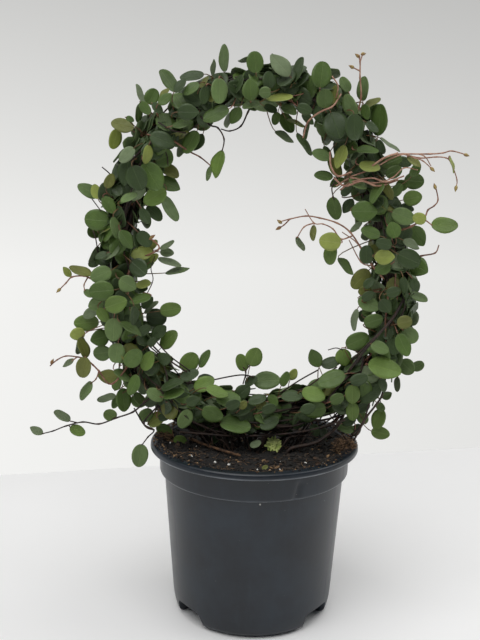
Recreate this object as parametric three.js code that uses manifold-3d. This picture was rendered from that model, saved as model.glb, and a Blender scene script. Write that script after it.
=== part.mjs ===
import * as THREE from 'three';
import { mergeVertices } from 'three/addons/utils/BufferGeometryUtils.js';
import Module from 'manifold-3d';

// A wire vine in a nursery pot, trained round a wreath hoop.
// Millimetres, +Z up, front towards -Y, origin on the pot's axis where it stands.

const wasm = await Module();
wasm.setup();

// Pot: one moulding of even wall with a lip, a collar and a foot with cut-outs
const LIP_RADIUS = 65;
const LIP_HEIGHT = 3.8;
const POT_HEIGHT = 109;
const COLLAR_RADIUS = 59.4;
const COLLAR_HEIGHT = 15.6;
const BODY_RADIUS_TOP = 56.2;
const BODY_RADIUS_FOOT = 50.5;
const FOOT_HEIGHT = 12.2;
const FOOT_RADIUS = 44;
const WALL = 1.5;
const FLOOR_HEIGHT = 6.6;
const FLOOR_THICKNESS = 1.6;
const HUB_RADIUS = 15;
const DRAIN_RADIUS = 4;
const DRAIN_CIRCLE = 31;
const DRAINS = 6;
const POT_SIDES = 24;
const NOTCH_TURNS = [54, 126, 234, 306];
const NOTCH_HEIGHT = 6.4;
const NOTCH_FOOT_WIDTH = 15;
const NOTCH_TOP_WIDTH = 8;
const SMALL_NOTCH_TURNS = [0, 180];
const SMALL_NOTCH_HEIGHT = 1.6;
const SMALL_NOTCH_WIDTH = 5.5;

// Potting mix
const SOIL_TOP = 104.2;
const SOIL_SIDES = 16;
const SOIL_RELIEF = 1.3;
const FIT_GAP = 0.4;
const ROOM_LENGTH = 1;
const CHIPS = 5;

// Wreath: the middle line of the hoop, as seen from the front, from the bottom centre by way of the left
const WREATH_LINE = [
  [-10, 126], [-50, 137], [-77, 168], [-84, 210], [-79, 252], [-64, 291], [-32, 316],
  [9, 326], [46, 309], [66, 271], [79, 231], [84, 189], [68, 151], [32, 131],
];
const WREATH_LENGTH = 597;
const SPRAYS = 16;
const BOTTOM_SPRAYS = [0, 1, 14, 15];
const SPRAY_GAP = 0.6;
const BAND_RADIUS = 17;
const ROPE_RADIUS = 7.2;
const BOTTOM_ROPE_RADIUS = 5;
const ROPE_RIDGE = 1.14;
const ROPE_VALLEY = 0.84;
const ROPE_STRANDS = 3;
const ROPE_TURNS = 5;
const ROPE_STEPS = 2;
const STRAND_BULGE = 6;
const STEM_RADIUS = 1.05;

// Hoop: round steel wire with two legs that stand in the mix
const WIRE_RADIUS = 1.5;
const HOOP_START = 0.028;
const LEG_FOOT = 32;
const LEG_BEND = 9;
const HOOP_STEPS = 42;
const WIRE_SIDES = 5;

// Leaves
const BLADE_THICKNESS = 1;
const BLADE_CUP = 0.13;
const STALK_WIDTH = 1;
const ROOT_DEPTH = 3.7;
const BOTTOM_ROOT_DEPTH = 3.2;
const KNEE = 1.8;
const STRAIGHT_STALK = 0.45;
const STALK_LEAD = 7;
const BACK_LEAVES = 8;
const CLEARANCE = 2;

// Gaps between nodes: least gap, and how much wider than what stands in it a hole is
const NODE_GAP = 0.35;
const WIRE_ROOM = 0.7;
const STEM_ROOM = 0.9;
const SHOOT_ROOM = 0.75;
const SEEDLING_ROOM = 1.7;

const COLOURS = {
  pot: ['#33383c', 0.5],
  soil: ['#2b211b', 0.95],
  wire: ['#3c403d', 0.5],
  leaf: ['#4d6b38', 0.55],
  shoot: ['#6d7a45', 0.6],
  young: ['#a9b75c', 0.6],
  fibre: ['#7a5a3c', 0.95],
  twig: ['#5c4230', 0.9],
};

// Where the photograph was taken from, so that a place read off its 480 by 640 frame becomes a place here
const PHOTO = { focal: 875, centreX: 240, centreY: 320, distance: 529, height: 281 };
const PHOTO_TILT = { pitch: 10.3, yaw: -1.09, roll: 0.87 };

// Leaves that show from the front. Each is where its stalk joins, where its tip is and how wide it looks,
// in pixels of the photograph: x, y of the joint, x, y of the tip, width.
const FRONT_LEAVES = {
  top: [
    [224, 72, 223, 44, 10], [212, 76, 214, 59, 5], [176, 92, 161, 69, 13], [204, 74, 180, 79, 11],
    [148, 104, 156, 89, 15], [145, 106, 136, 84, 5], [138, 123, 138, 104, 6], [134, 128, 111, 123, 14],
    [118, 129, 112, 149, 12], [134, 148, 120, 162, 13], [149, 145, 146, 164, 9], [150, 135, 174, 145, 17],
    [172, 126, 193, 121, 9], [197, 131, 184, 153, 16], [203, 134, 194, 151, 12], [219, 78, 219, 104, 17],
    [229, 109, 203, 120, 15], [177, 112, 199, 112, 17], [206, 86, 203, 104, 11], [160, 100, 168, 88, 7],
    [200, 88, 208, 76, 6], [199, 83, 184, 95, 11], [256, 73, 254, 51, 18], [290, 76, 271, 54, 18],
    [292, 84, 303, 57, 10], [320, 88, 323, 61, 21], [293, 96, 266, 100, 9], [287, 119, 305, 127, 5],
    [275, 131, 294, 142, 8], [297, 133, 311, 156, 8], [308, 122, 304, 140, 5], [251, 101, 250, 78, 18],
    [271, 92, 259, 93, 12], [270, 89, 268, 71, 14], [278, 112, 274, 125, 9], [282, 113, 292, 133, 14],
    [240, 107, 231, 124, 13], [260, 102, 242, 107, 9], [325, 108, 325, 89, 18], [333, 104, 336, 85, 9],
  ],
  right: [
    [331, 112, 340, 138, 26], [349, 92, 341, 77, 11], [363, 101, 363, 76, 11], [355, 118, 346, 94, 13],
    [364, 108, 380, 97, 7], [368, 108, 384, 118, 18], [378, 136, 382, 104, 15], [354, 114, 355, 141, 19],
    [345, 145, 337, 169, 12], [329, 158, 341, 177, 13], [359, 165, 380, 169, 11], [356, 150, 379, 150, 8],
    [382, 166, 402, 157, 15], [380, 138, 400, 152, 5], [404, 180, 424, 182, 17], [411, 177, 420, 163, 9],
    [331, 158, 312, 152, 12], [333, 177, 314, 175, 10], [349, 178, 367, 188, 11], [332, 197, 337, 220, 14],
    [353, 199, 343, 213, 11], [351, 211, 378, 212, 22], [362, 222, 350, 232, 5], [380, 236, 361, 229, 12],
    [367, 264, 366, 245, 15], [374, 257, 395, 257, 16], [391, 264, 375, 272, 14], [369, 270, 352, 288, 17],
    [372, 290, 358, 292, 12], [358, 299, 379, 309, 15], [357, 309, 353, 331, 5], [362, 310, 363, 322, 8],
    [364, 324, 383, 318, 15], [380, 300, 390, 312, 14], [386, 294, 401, 290, 11], [383, 183, 370, 203, 8],
    [385, 182, 392, 200, 8], [396, 186, 408, 185, 12], [403, 200, 422, 196, 16], [392, 212, 415, 221, 17],
    [396, 238, 391, 222, 15], [411, 226, 424, 246, 17], [403, 240, 420, 248, 9], [398, 254, 420, 264, 20],
    [410, 262, 427, 272, 20], [412, 278, 418, 292, 10], [410, 294, 428, 300, 8], [403, 277, 405, 293, 8],
    [397, 324, 412, 320, 14], [403, 330, 417, 341, 16], [398, 334, 408, 356, 15], [401, 362, 413, 372, 16],
    [412, 369, 424, 363, 11], [392, 246, 376, 242, 12],
  ],
  left: [
    [161, 163, 178, 178, 12], [158, 178, 180, 190, 15], [144, 163, 160, 190, 24], [166, 190, 144, 203, 18],
    [162, 196, 176, 222, 10], [147, 206, 162, 220, 12], [141, 208, 148, 224, 9], [120, 201, 137, 193, 8],
    [98, 197, 78, 184, 12], [98, 199, 94, 184, 11], [103, 202, 106, 182, 13], [106, 188, 113, 174, 10],
    [103, 197, 115, 213, 12], [96, 229, 91, 210, 14], [110, 221, 84, 219, 22], [101, 231, 88, 232, 14],
    [113, 217, 117, 239, 8], [120, 230, 132, 249, 12], [132, 166, 142, 190, 22], [128, 160, 124, 186, 18],
    [138, 232, 151, 246, 14], [98, 246, 90, 263, 5], [107, 253, 95, 258, 7], [99, 262, 88, 265, 8],
    [111, 270, 91, 279, 17], [114, 290, 89, 292, 21], [105, 308, 127, 300, 18], [104, 302, 88, 307, 15],
    [98, 309, 83, 317, 10], [99, 322, 74, 323, 17], [85, 332, 70, 336, 13], [82, 337, 79, 355, 8],
    [109, 336, 91, 340, 18], [114, 318, 113, 341, 18], [111, 352, 93, 354, 16], [118, 343, 115, 363, 17],
    [119, 279, 136, 289, 18], [151, 283, 135, 285, 8], [153, 252, 130, 255, 13], [131, 262, 147, 274, 19],
    [160, 252, 174, 253, 9], [160, 249, 175, 242, 5], [158, 258, 181, 267, 5], [165, 273, 190, 270, 5],
    [134, 290, 148, 288, 8], [151, 296, 130, 303, 8], [142, 308, 153, 297, 10], [144, 313, 158, 301, 5],
    [146, 317, 167, 318, 19], [160, 311, 181, 308, 15], [152, 338, 166, 326, 12], [161, 348, 176, 331, 14],
    [120, 322, 142, 335, 5], [139, 334, 150, 326, 10], [126, 366, 141, 350, 17], [143, 370, 153, 352, 13],
    [134, 306, 134, 326, 8], [158, 362, 170, 356, 14],
  ],
  bottom: [
    [119, 378, 97, 375, 15], [116, 396, 97, 400, 5], [120, 396, 112, 408, 8], [122, 388, 125, 412, 14],
    [134, 393, 145, 406, 7], [147, 390, 163, 400, 11], [114, 370, 131, 381, 6], [138, 375, 130, 395, 12],
    [183, 371, 196, 353, 18], [199, 367, 210, 350, 8], [180, 378, 199, 372, 10], [194, 389, 214, 379, 14],
    [161, 389, 183, 380, 6], [163, 397, 184, 390, 7], [206, 388, 228, 396, 8], [216, 397, 241, 401, 14],
    [236, 397, 250, 386, 15], [248, 402, 266, 397, 8], [240, 409, 246, 401, 8], [202, 410, 223, 418, 17],
    [220, 422, 251, 427, 13], [190, 410, 180, 428, 14], [148, 425, 165, 413, 13], [156, 427, 173, 433, 13],
    [174, 438, 187, 445, 13], [208, 443, 221, 434, 8], [168, 402, 188, 396, 14], [253, 381, 281, 380, 17],
    [245, 385, 257, 377, 8], [269, 395, 277, 405, 9], [256, 408, 266, 402, 8], [260, 427, 279, 420, 10],
    [245, 371, 239, 354, 12], [250, 366, 258, 348, 17], [290, 380, 296, 369, 9], [319, 367, 311, 349, 14],
    [321, 365, 341, 361, 10], [341, 349, 346, 366, 16], [346, 346, 369, 336, 18], [371, 344, 389, 351, 12],
    [368, 364, 401, 373, 19], [345, 374, 318, 385, 15], [350, 382, 368, 377, 12], [302, 391, 325, 398, 14],
    [326, 408, 304, 411, 18], [352, 385, 353, 404, 15], [352, 402, 353, 421, 13], [354, 430, 336, 424, 10],
    [319, 425, 326, 440, 8], [312, 424, 318, 436, 9], [382, 409, 375, 429, 13], [371, 431, 390, 435, 13],
    [382, 398, 392, 393, 9], [377, 403, 384, 411, 8], [398, 377, 396, 392, 5], [360, 401, 382, 386, 14],
    [281, 396, 303, 396, 9], [281, 386, 289, 372, 8],
  ],
};

// Loose shoots: lines of x, y in the photograph and depth in millimetres, their leaves, and their end buds.
// A shoot's first point is inside the wreath.
const SHOOTS = {
  shoot_right_long: {
    lines: [
      [[372, 167, -5], [381, 160, -12], [392, 155, -14], [403, 154, -12], [430, 154, -8], [443, 153, -6],
        [452, 151, -4], [467, 155, -2]],
      [[403, 154, -12], [420, 158, -10], [436, 157, -8], [446, 158, -7], [451, 163, -6], [457, 180, -6],
        [455, 190, -6]],
      [[404, 154, -12], [415, 158, -14], [423, 161, -15], [432, 169, -15]],
    ],
    leaves: [[450, 156, 455, 173, 5, -7], [407, 157, 421, 166, 8, -13]],
    buds: [[466, 155, -2], [432, 169, -15], [456, 188, -6]],
  },
  shoot_right_budded: {
    lines: [
      [[398, 231, -5], [412, 226, -12], [424, 218, -12], [428, 210, -10], [434, 206, -10], [438, 200, -10],
        [436, 188, -10]],
      [[424, 219, -12], [433, 226, -12]],
    ],
    leaves: [[431, 225, 458, 226, 16, -12], [426, 221, 413, 216, 12, -15]],
    buds: [[435, 187, -10]],
  },
  shoot_right_twig: {
    lines: [[[400, 262, 5], [421, 256, 2], [435, 253, 4], [439, 245, 6]]],
    leaves: [],
    buds: [],
  },
  shoot_top_right: {
    lines: [
      [[356, 118, -5], [361, 97, -5], [360, 78, -6], [360, 62, -6], [358, 55, -6]],
      [[360, 71, -6], [352, 67, -8]],
      [[360, 62, -6], [363, 53, -4]],
    ],
    leaves: [],
    buds: [[358, 56, -6], [352, 67, -8], [363, 54, -4]],
  },
  shoot_inner_right: {
    lines: [
      [[384, 279, -5], [372, 265, -8], [361, 248, -9], [350, 232, -10], [337, 223, -10], [320, 218, -10],
        [306, 216, -10], [290, 219, -9], [279, 222, -9]],
      [[290, 219, -9], [284, 225, -8], [278, 229, -8]],
      [[352, 236, -10], [341, 239, -13], [333, 229, -13], [323, 224, -13], [314, 223, -12], [305, 209, -10]],
      [[314, 223, -12], [304, 227, -12], [297, 238, -12]],
      [[371, 264, -8], [358, 244, -4], [342, 232, -2]],
      [[373, 266, -8], [361, 262, -3], [349, 240, 1]],
    ],
    leaves: [[314, 225, 312, 241, 6, -12], [296, 237, 304, 251, 6, -12], [341, 243, 319, 240, 16, -15],
      [334, 244, 331, 265, 12, -11]],
    buds: [[280, 222, -9], [279, 228, -8]],
  },
  shoot_inner_top: {
    lines: [
      [[198, 114, -5], [210, 125, -12], [218, 128, -13], [224, 139, -13], [222, 152, -13]],
    ],
    leaves: [[222, 150, 214, 178, 14, -13]],
    buds: [],
  },
  shoot_inner_top_loop: {
    lines: [[[256, 97, 5], [248, 112, 8], [241, 126, 9], [230, 131, 8], [221, 129, 6]]],
    leaves: [],
    buds: [],
  },
  shoot_inner_left_top: {
    lines: [[[160, 131, -5], [187, 150, -5], [200, 157, -3], [211, 166, -3]]],
    leaves: [[212, 165, 207, 181, 6, -3]],
    buds: [],
  },
  shoot_inner_left: {
    lines: [[[130, 262, -5], [158, 250, -12], [154, 241, -12], [149, 239, -12]]],
    leaves: [],
    buds: [[152, 237, -12]],
  },
  shoot_left_upper: {
    lines: [
      [[118, 288, -5], [92, 279, -9], [84, 276, -9], [72, 277, -8], [66, 283, -8], [59, 290, -8]],
      [[88, 277, -9], [84, 285, -9], [85, 291, -9]],
    ],
    leaves: [[71, 277, 63, 267, 6, -8], [92, 275, 69, 267, 7, -10], [84, 290, 93, 297, 7, -9]],
    buds: [[59, 290, -8]],
  },
  shoot_left_middle: {
    lines: [
      [[134, 358, -5], [112, 384, -11], [99, 371, -12], [93, 365, -11], [86, 359, -10], [78, 357, -9],
        [66, 356, -8], [57, 360, -8], [50, 366, -8]],
      [[99, 371, -12], [96, 379, -9], [90, 384, -8]],
      [[77, 357, -9], [71, 362, -8]],
    ],
    leaves: [[85, 357, 82, 378, 15, -12], [92, 382, 81, 400, 9, -8], [74, 359, 63, 367, 5, -8],
      [87, 358, 80, 338, 8, -9]],
    buds: [[52, 362, -8]],
  },
  shoot_left_long: {
    lines: [
      [[160, 390, -6], [145, 402, -13], [133, 412, -14], [116, 418, -13], [99, 424, -13], [83, 422, -13],
        [66, 426, -13], [53, 431, -13], [41, 434, -13]],
      [[78, 423, -13], [66, 420, -13]],
    ],
    leaves: [[115, 419, 105, 410, 13, -14], [70, 421, 54, 411, 5, -13], [70, 427, 85, 434, 11, -13],
      [43, 434, 30, 427, 6, -13]],
    buds: [],
  },
  shoot_left_low: {
    lines: [[[166, 398, -5], [144, 422, -7], [154, 430, -6], [148, 437, -8], [142, 445, -9]]],
    leaves: [[142, 444, 138, 467, 16, -9]],
    buds: [],
  },
};
const SHOOT_RADIUS = 0.75;
const BUD_LENGTH = 4;

// Stems that rise out of the mix and join the bottom sprays: spray, and points x, y, z from the mix upwards
const ROOTED_RADIUS = 1.3;
const ROOTED_STEPS = 5;
const ROOTED_STEMS = [
  [0, [[-16, -7, 92], [-17, -7, 108], [-22, -4, 118], [-30, 0, 130]]],
  [0, [[-9, 8, 92], [-10, 8, 108], [-16, 6, 117], [-26, 2, 130]]],
  [15, [[2, -10, 92], [3, -10, 107], [9, -6, 117], [18, 0, 129]]],
  [15, [[0, 7, 92], [1, 7, 108], [6, 5, 117], [14, 1, 129]]],
  [1, [[-27, -1, 92], [-29, -1, 109], [-43, -5, 118], [-60, -3, 130], [-64, 0, 148]]],
  [1, [[-22, 13, 92], [-24, 13, 107], [-42, 11, 114], [-58, 4, 128], [-62, 0, 146]]],
  [14, [[20, -13, 92], [22, -13, 107], [40, -11, 112], [54, -4, 124], [56, 0, 141]]],
  [14, [[17, 12, 92], [19, 12, 107], [38, 10, 112], [52, 4, 122], [54, 0, 139]]],
];

// Loose things on the mix
const TWIG = [[-41, 7], [-30, -6], [-18, -18], [-8, -25]];
const SEEDLING = [12.5, -3];
const TUFT_SEED = 900;
const COIR_TUFTS = {
  coir_tuft_right: { at: [55.5, -12, 109.5], size: [7.5, 7, 6] },
  coir_tuft_left: { at: [-56.5, 2, 108], size: [5.5, 4.5, 4] },
};

// Repeatable draws from 0 to 1
function draws(seed) {
  let state = seed | 0;
  return () => {
    state = (state + 0x6d2b79f5) | 0;
    let mixed = Math.imul(state ^ (state >>> 15), 1 | state);
    mixed = (mixed + Math.imul(mixed ^ (mixed >>> 7), 61 | mixed)) ^ mixed;
    return ((mixed ^ (mixed >>> 14)) >>> 0) / 4294967296;
  };
}

const vector = (x, y, z) => new THREE.Vector3(x, y, z);
const radians = THREE.MathUtils.degToRad;
const UP = vector(0, 0, 1);
const FRONT = vector(0, -1, 0);

// A closed geometry as a solid, with its faces turned outwards
function solid(geometry) {
  const bare = geometry.clone();
  bare.deleteAttribute('normal');
  bare.deleteAttribute('uv');
  const merged = mergeVertices(bare);
  const corners = merged.index.array;
  const points = merged.attributes.position;
  const kept = [];
  let volume = 0;
  for (let i = 0; i < corners.length; i += 3) {
    const [a, b, c] = [corners[i], corners[i + 1], corners[i + 2]];
    if (a === b || b === c || c === a) continue;
    kept.push(a, b, c);
    const [p, q, r] = [a, b, c].map((k) => vector().fromBufferAttribute(points, k));
    volume += p.dot(q.cross(r));
  }
  if (volume < 0) {
    for (let i = 0; i < kept.length; i += 3) {
      [kept[i], kept[i + 1]] = [kept[i + 1], kept[i]];
    }
  }
  const mesh = { numProp: 3, vertProperties: new Float32Array(points.array), triVerts: new Uint32Array(kept) };
  return new wasm.Manifold(new wasm.Mesh(mesh));
}

// A closed geometry from corner points and triangles
function faceted(points, triangles) {
  const geometry = new THREE.BufferGeometry();
  geometry.setAttribute('position', new THREE.Float32BufferAttribute(points.flatMap((p) => [p.x, p.y, p.z]), 3));
  geometry.setIndex(triangles.flat());
  return geometry;
}

// The largest connected body of a solid, so that a loose scrap or a sealed hollow is left out
function largest(body) {
  const pieces = body.decompose();
  return pieces.reduce((best, piece) => (piece.volume() > best.volume() ? piece : best));
}

function meshOf(name, body, look) {
  const { vertProperties, triVerts } = body.getMesh();
  const geometry = new THREE.BufferGeometry();
  geometry.setAttribute('position', new THREE.BufferAttribute(new Float32Array(vertProperties), 3));
  geometry.setIndex(Array.from(triVerts));
  geometry.computeVertexNormals();
  const [color, roughness] = COLOURS[look];
  const material = new THREE.MeshStandardMaterial({ color, roughness, metalness: 0, flatShading: true });
  const mesh = new THREE.Mesh(geometry, material);
  mesh.name = name;
  return mesh;
}

function ring(radius, sides) {
  const corners = [];
  for (let k = 0; k < sides; k += 1) {
    const turn = (2 * Math.PI * k) / sides;
    corners.push(new THREE.Vector2(radius * Math.cos(turn), radius * Math.sin(turn)));
  }
  return new THREE.Shape(corners);
}

function tube(curve, radius, sides, steps) {
  const options = { extrudePath: curve, steps, bevelEnabled: false };
  return solid(new THREE.ExtrudeGeometry(ring(radius, sides), options));
}

// The room that a tube needs in what it stands in: a little wider, and longer at its start and end
function roomFor(curve, radius, sides, steps) {
  const ends = [[0, -1], [1, 1]].map(([part, direction]) => {
    const at = curve.getPointAt(part);
    const beyond = at.clone().addScaledVector(curve.getTangentAt(part), direction * ROOM_LENGTH);
    return tube(new THREE.LineCurve3(at, beyond), radius, sides, 1);
  });
  return ends.reduce((sum, plug) => sum.add(plug), tube(curve, radius, sides, steps));
}

function through(points) {
  return new THREE.CatmullRomCurve3(points, false, 'catmullrom', 0.5);
}

// The place in the part at a given depth that shows at a pixel of the photograph
const photoAxes = (() => {
  const [pitch, yaw, roll] = [PHOTO_TILT.pitch, PHOTO_TILT.yaw, PHOTO_TILT.roll].map(radians);
  const ahead = vector(Math.sin(yaw) * Math.cos(pitch), Math.cos(yaw) * Math.cos(pitch), -Math.sin(pitch));
  const level = vector(Math.cos(yaw), -Math.sin(yaw), 0);
  const upright = vector().crossVectors(level, ahead);
  const right = level.clone().multiplyScalar(Math.cos(roll)).addScaledVector(upright, Math.sin(roll));
  const up = upright.clone().multiplyScalar(Math.cos(roll)).addScaledVector(level, -Math.sin(roll));
  return { ahead, right, up };
})();

function spot(x, y, depth) {
  const eye = vector(0, -PHOTO.distance, PHOTO.height);
  const sight = photoAxes.ahead.clone();
  sight.addScaledVector(photoAxes.right, (x - PHOTO.centreX) / PHOTO.focal);
  sight.addScaledVector(photoAxes.up, (PHOTO.centreY - y) / PHOTO.focal);
  return eye.addScaledVector(sight, (depth + PHOTO.distance) / sight.y);
}

// The wreath's middle line, and directions across it
const wreathCurve = new THREE.CatmullRomCurve3(
  WREATH_LINE.map(([x, z]) => vector(x, 0, z)), true, 'catmullrom', 0.5,
);

function wreathAt(share) {
  const turn = share - Math.floor(share);
  const at = wreathCurve.getPoint(turn);
  const along = wreathCurve.getTangent(turn);
  const outward = vector().crossVectors(along, FRONT);
  return { at, along, outward };
}

const NEAR_STEPS = 560;
const nearTable = Array.from({ length: NEAR_STEPS }, (_, k) => wreathCurve.getPoint(k / NEAR_STEPS));

function nearestShare(point) {
  let best = 0;
  let least = Infinity;
  nearTable.forEach((p, k) => {
    const apart = Math.hypot(p.x - point.x, p.z - point.z);
    if (apart < least) {
      least = apart;
      best = k / NEAR_STEPS;
    }
  });
  return { share: best, apart: least };
}

// A leaf is where its blade starts, which way it points, which way its upper face looks, and its size
function makeLeaf(base, axis, normal, length, width, rim) {
  const along = axis.clone().normalize();
  const side = vector().crossVectors(normal, along).normalize();
  const face = vector().crossVectors(along, side);
  const middle = base.clone().addScaledVector(along, length / 2);
  return { base, along, side, face, length, width, middle, rim };
}

// Half the outline of a blade, as shares of its length and of its width
const HALF_OUTLINE = [[0.12, 0.29], [0.42, 0.5], [0.76, 0.37]];
const PLAIN_HALF_OUTLINE = [[0.24, 0.46], [0.7, 0.42]];

function rimOf(half) {
  return [[0, 0], ...half, [1, 0], ...half.map(([u, v]) => [u, -v]).reverse()];
}

const RIM = rimOf(HALF_OUTLINE);
const PLAIN_RIM = rimOf(PLAIN_HALF_OUTLINE);

function leafPoint(leaf, u, v, w) {
  return leaf.base.clone().addScaledVector(leaf.along, u).addScaledVector(leaf.side, v)
    .addScaledVector(leaf.face, w);
}

function rimPoints(leaf) {
  return leaf.rim.map(([u, v]) => {
    const across = v * leaf.width;
    return leafPoint(leaf, u * leaf.length, across, BLADE_CUP * Math.abs(across));
  });
}

// The three corners of a stalk's section at a place, facing a direction
function stalkSection(leaf, at, direction) {
  const turn = new THREE.Quaternion().setFromUnitVectors(leaf.along, direction);
  const side = leaf.side.clone().applyQuaternion(turn);
  const face = leaf.face.clone().applyQuaternion(turn);
  const half = STALK_WIDTH / 2;
  return [
    at.clone().addScaledVector(side, half), at.clone().addScaledVector(side, -half),
    at.clone().addScaledVector(face, -STALK_WIDTH * 0.85),
  ];
}

// The sections of a stalk from the blade to its root, with a knee where it has to turn
function stalkSections(leaf, root) {
  const straight = leaf.base.clone().sub(root).normalize();
  const sections = [stalkSection(leaf, leaf.base, leaf.along)];
  if (straight.dot(leaf.along) > STRAIGHT_STALK) return [...sections, stalkSection(leaf, root, straight)];
  const knee = leaf.base.clone().addScaledVector(leaf.along, -KNEE);
  const onward = knee.clone().sub(root).normalize();
  const halfway = onward.clone().add(leaf.along).normalize();
  return [...sections, stalkSection(leaf, knee, halfway), stalkSection(leaf, root, onward)];
}

// A leaf: a blade that is thick in the middle, thin at the rim and hollow above, drawn out into its stalk
function leafSolid(leaf, root) {
  const rim = rimPoints(leaf).slice(1);
  const sections = stalkSections(leaf, root);
  const top = leafPoint(leaf, leaf.length * 0.45, 0, 0);
  const under = leafPoint(leaf, leaf.length * 0.45, 0, -BLADE_THICKNESS);
  const points = [top, under, ...rim, ...sections.flat()];
  const [first, last] = [2, rim.length + 1];
  const [left, right, below] = [last + 1, last + 2, last + 3];
  const edge = [left, ...rim.map((_, k) => first + k), right];
  const triangles = [[0, right, left], [1, below, right], [1, left, below]];
  for (let k = 0; k + 1 < edge.length; k += 1) {
    triangles.push([0, edge[k], edge[k + 1]], [1, edge[k + 1], edge[k]]);
  }
  for (let k = 0; k + 1 < sections.length; k += 1) {
    for (let side = 0; side < 3; side += 1) {
      const [a, b] = [left + 3 * k + side, left + 3 * k + ((side + 1) % 3)];
      triangles.push([a, b, b + 3], [a, b + 3, a + 3]);
    }
  }
  const end = left + 3 * (sections.length - 1);
  triangles.push([end, end + 1, end + 2]);
  return solid(faceted(points, triangles));
}

// Whether points of one blade come closer than the clearance to the other blade
function pokes(one, other) {
  const points = [...rimPoints(one), one.middle];
  return points.some((p) => {
    const from = p.clone().sub(other.middle);
    const u = from.dot(other.along) / (other.length / 2 + 0.6);
    const v = from.dot(other.side) / (other.width / 2 + 0.6);
    return u * u + v * v < 1 && Math.abs(from.dot(other.face)) < CLEARANCE;
  });
}

function touches(one, other) {
  if (one.middle.distanceTo(other.middle) > (one.length + other.length) / 2 + CLEARANCE) return false;
  return pokes(one, other) || pokes(other, one);
}

const MIN_WIDTH = 0.68;
const MAX_PITCH = radians(50);
const MAX_ROLL = radians(74);
const EDGE_ON = radians(48);

// A leaf as the photograph shows it, at a depth: what looks short or narrow is turned away from the eye
function leafInView([baseX, baseY, tipX, tipY, wide], depth, outward) {
  const from = spot(baseX, baseY, depth);
  const to = spot(tipX, tipY, depth);
  const seen = to.clone().sub(from);
  const shown = seen.length();
  const scale = shown / Math.hypot(tipX - baseX, tipY - baseY);
  const across = wide * scale;
  const length = Math.max(shown, across * 1.1);
  const width = Math.max(across, length * MIN_WIDTH);
  const pitch = Math.min(Math.acos(shown / length), MAX_PITCH);
  const roll = Math.min(Math.acos(across / width), MAX_ROLL);
  const axis = seen.normalize().multiplyScalar(Math.cos(pitch)).addScaledVector(FRONT, Math.sin(pitch));
  const side = vector().crossVectors(axis, FRONT).normalize();
  const open = vector().crossVectors(side, axis);
  const lean = side.dot(UP) + 0.5 * side.dot(outward) < 0 ? -1 : 1;
  const normal = open.multiplyScalar(Math.cos(roll)).addScaledVector(side, lean * Math.sin(roll));
  const middle = from.clone().add(to).multiplyScalar(0.5);
  const base = middle.addScaledVector(axis, -length / 2);
  return makeLeaf(base, axis, normal, length, width, roll > EDGE_ON ? PLAIN_RIM : RIM);
}

// Where a leaf's stalk is rooted in the wood: behind the leaf, so that the stalk runs on into the blade
function rootFor(leaf) {
  const behind = leaf.base.clone().addScaledVector(leaf.along, -STALK_LEAD);
  const { share } = nearestShare(behind);
  const { at } = wreathAt(share);
  const away = behind.sub(at).normalize();
  const depth = BOTTOM_SPRAYS.includes(Math.floor(share * SPRAYS)) ? BOTTOM_ROOT_DEPTH : ROOT_DEPTH;
  return { share, root: at.clone().addScaledVector(away, depth) };
}

const DEPTH_TRIES = [0, -3, 3, -6, 6, -9, 9];
const placed = [];

// A leaf of the front: at the wreath's surface, moved in depth until it is clear of the ones before it
function placeFrontLeaf(row) {
  const flat = spot((row[0] + row[2]) / 2, (row[1] + row[3]) / 2, 0);
  const { share, apart } = nearestShare(flat);
  const { outward } = wreathAt(share);
  const surface = -Math.sqrt(Math.max(0, 1 - (apart / BAND_RADIUS) ** 2)) * BAND_RADIUS;
  for (const shift of DEPTH_TRIES) {
    const leaf = leafInView(row, surface + shift, outward);
    if (!placed.some((other) => touches(leaf, other.leaf))) {
      placed.push({ leaf, ...rootFor(leaf) });
      return;
    }
  }
}

// A leaf of the sides and back, drawn at random round the wreath's section
const BACK_TURN = { from: 62, span: 236 };

function placeBackLeaf(spray, number) {
  const draw = draws(spray * 1000 + number * 7 + 11);
  const share = (spray + draw()) / SPRAYS;
  const { at, along, outward } = wreathAt(share);
  const turn = radians(BACK_TURN.from + BACK_TURN.span * draw());
  const away = FRONT.clone().multiplyScalar(Math.cos(turn)).addScaledVector(outward, Math.sin(turn));
  const round = vector().crossVectors(along, away);
  const length = 12 + 4.5 * draw();
  const width = length * (0.76 + 0.16 * draw());
  const spin = 2 * Math.PI * draw();
  const lift = 0.1 + 0.8 * draw() * draw();
  const axis = along.clone().multiplyScalar(Math.cos(spin)).addScaledVector(round, Math.sin(spin))
    .addScaledVector(away, lift).normalize();
  const tilt = vector(draw() - 0.5, draw() - 0.5, 0.3 + 0.5 * draw());
  const normal = away.clone().addScaledVector(tilt, 0.8);
  const middle = at.clone().addScaledVector(away, 11.5 + 5.5 * draw());
  const leaf = makeLeaf(middle.addScaledVector(axis, -length / 2), axis, normal, length, width, PLAIN_RIM);
  if (placed.some((other) => touches(leaf, other.leaf))) return;
  placed.push({ leaf, ...rootFor(leaf) });
}

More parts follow.
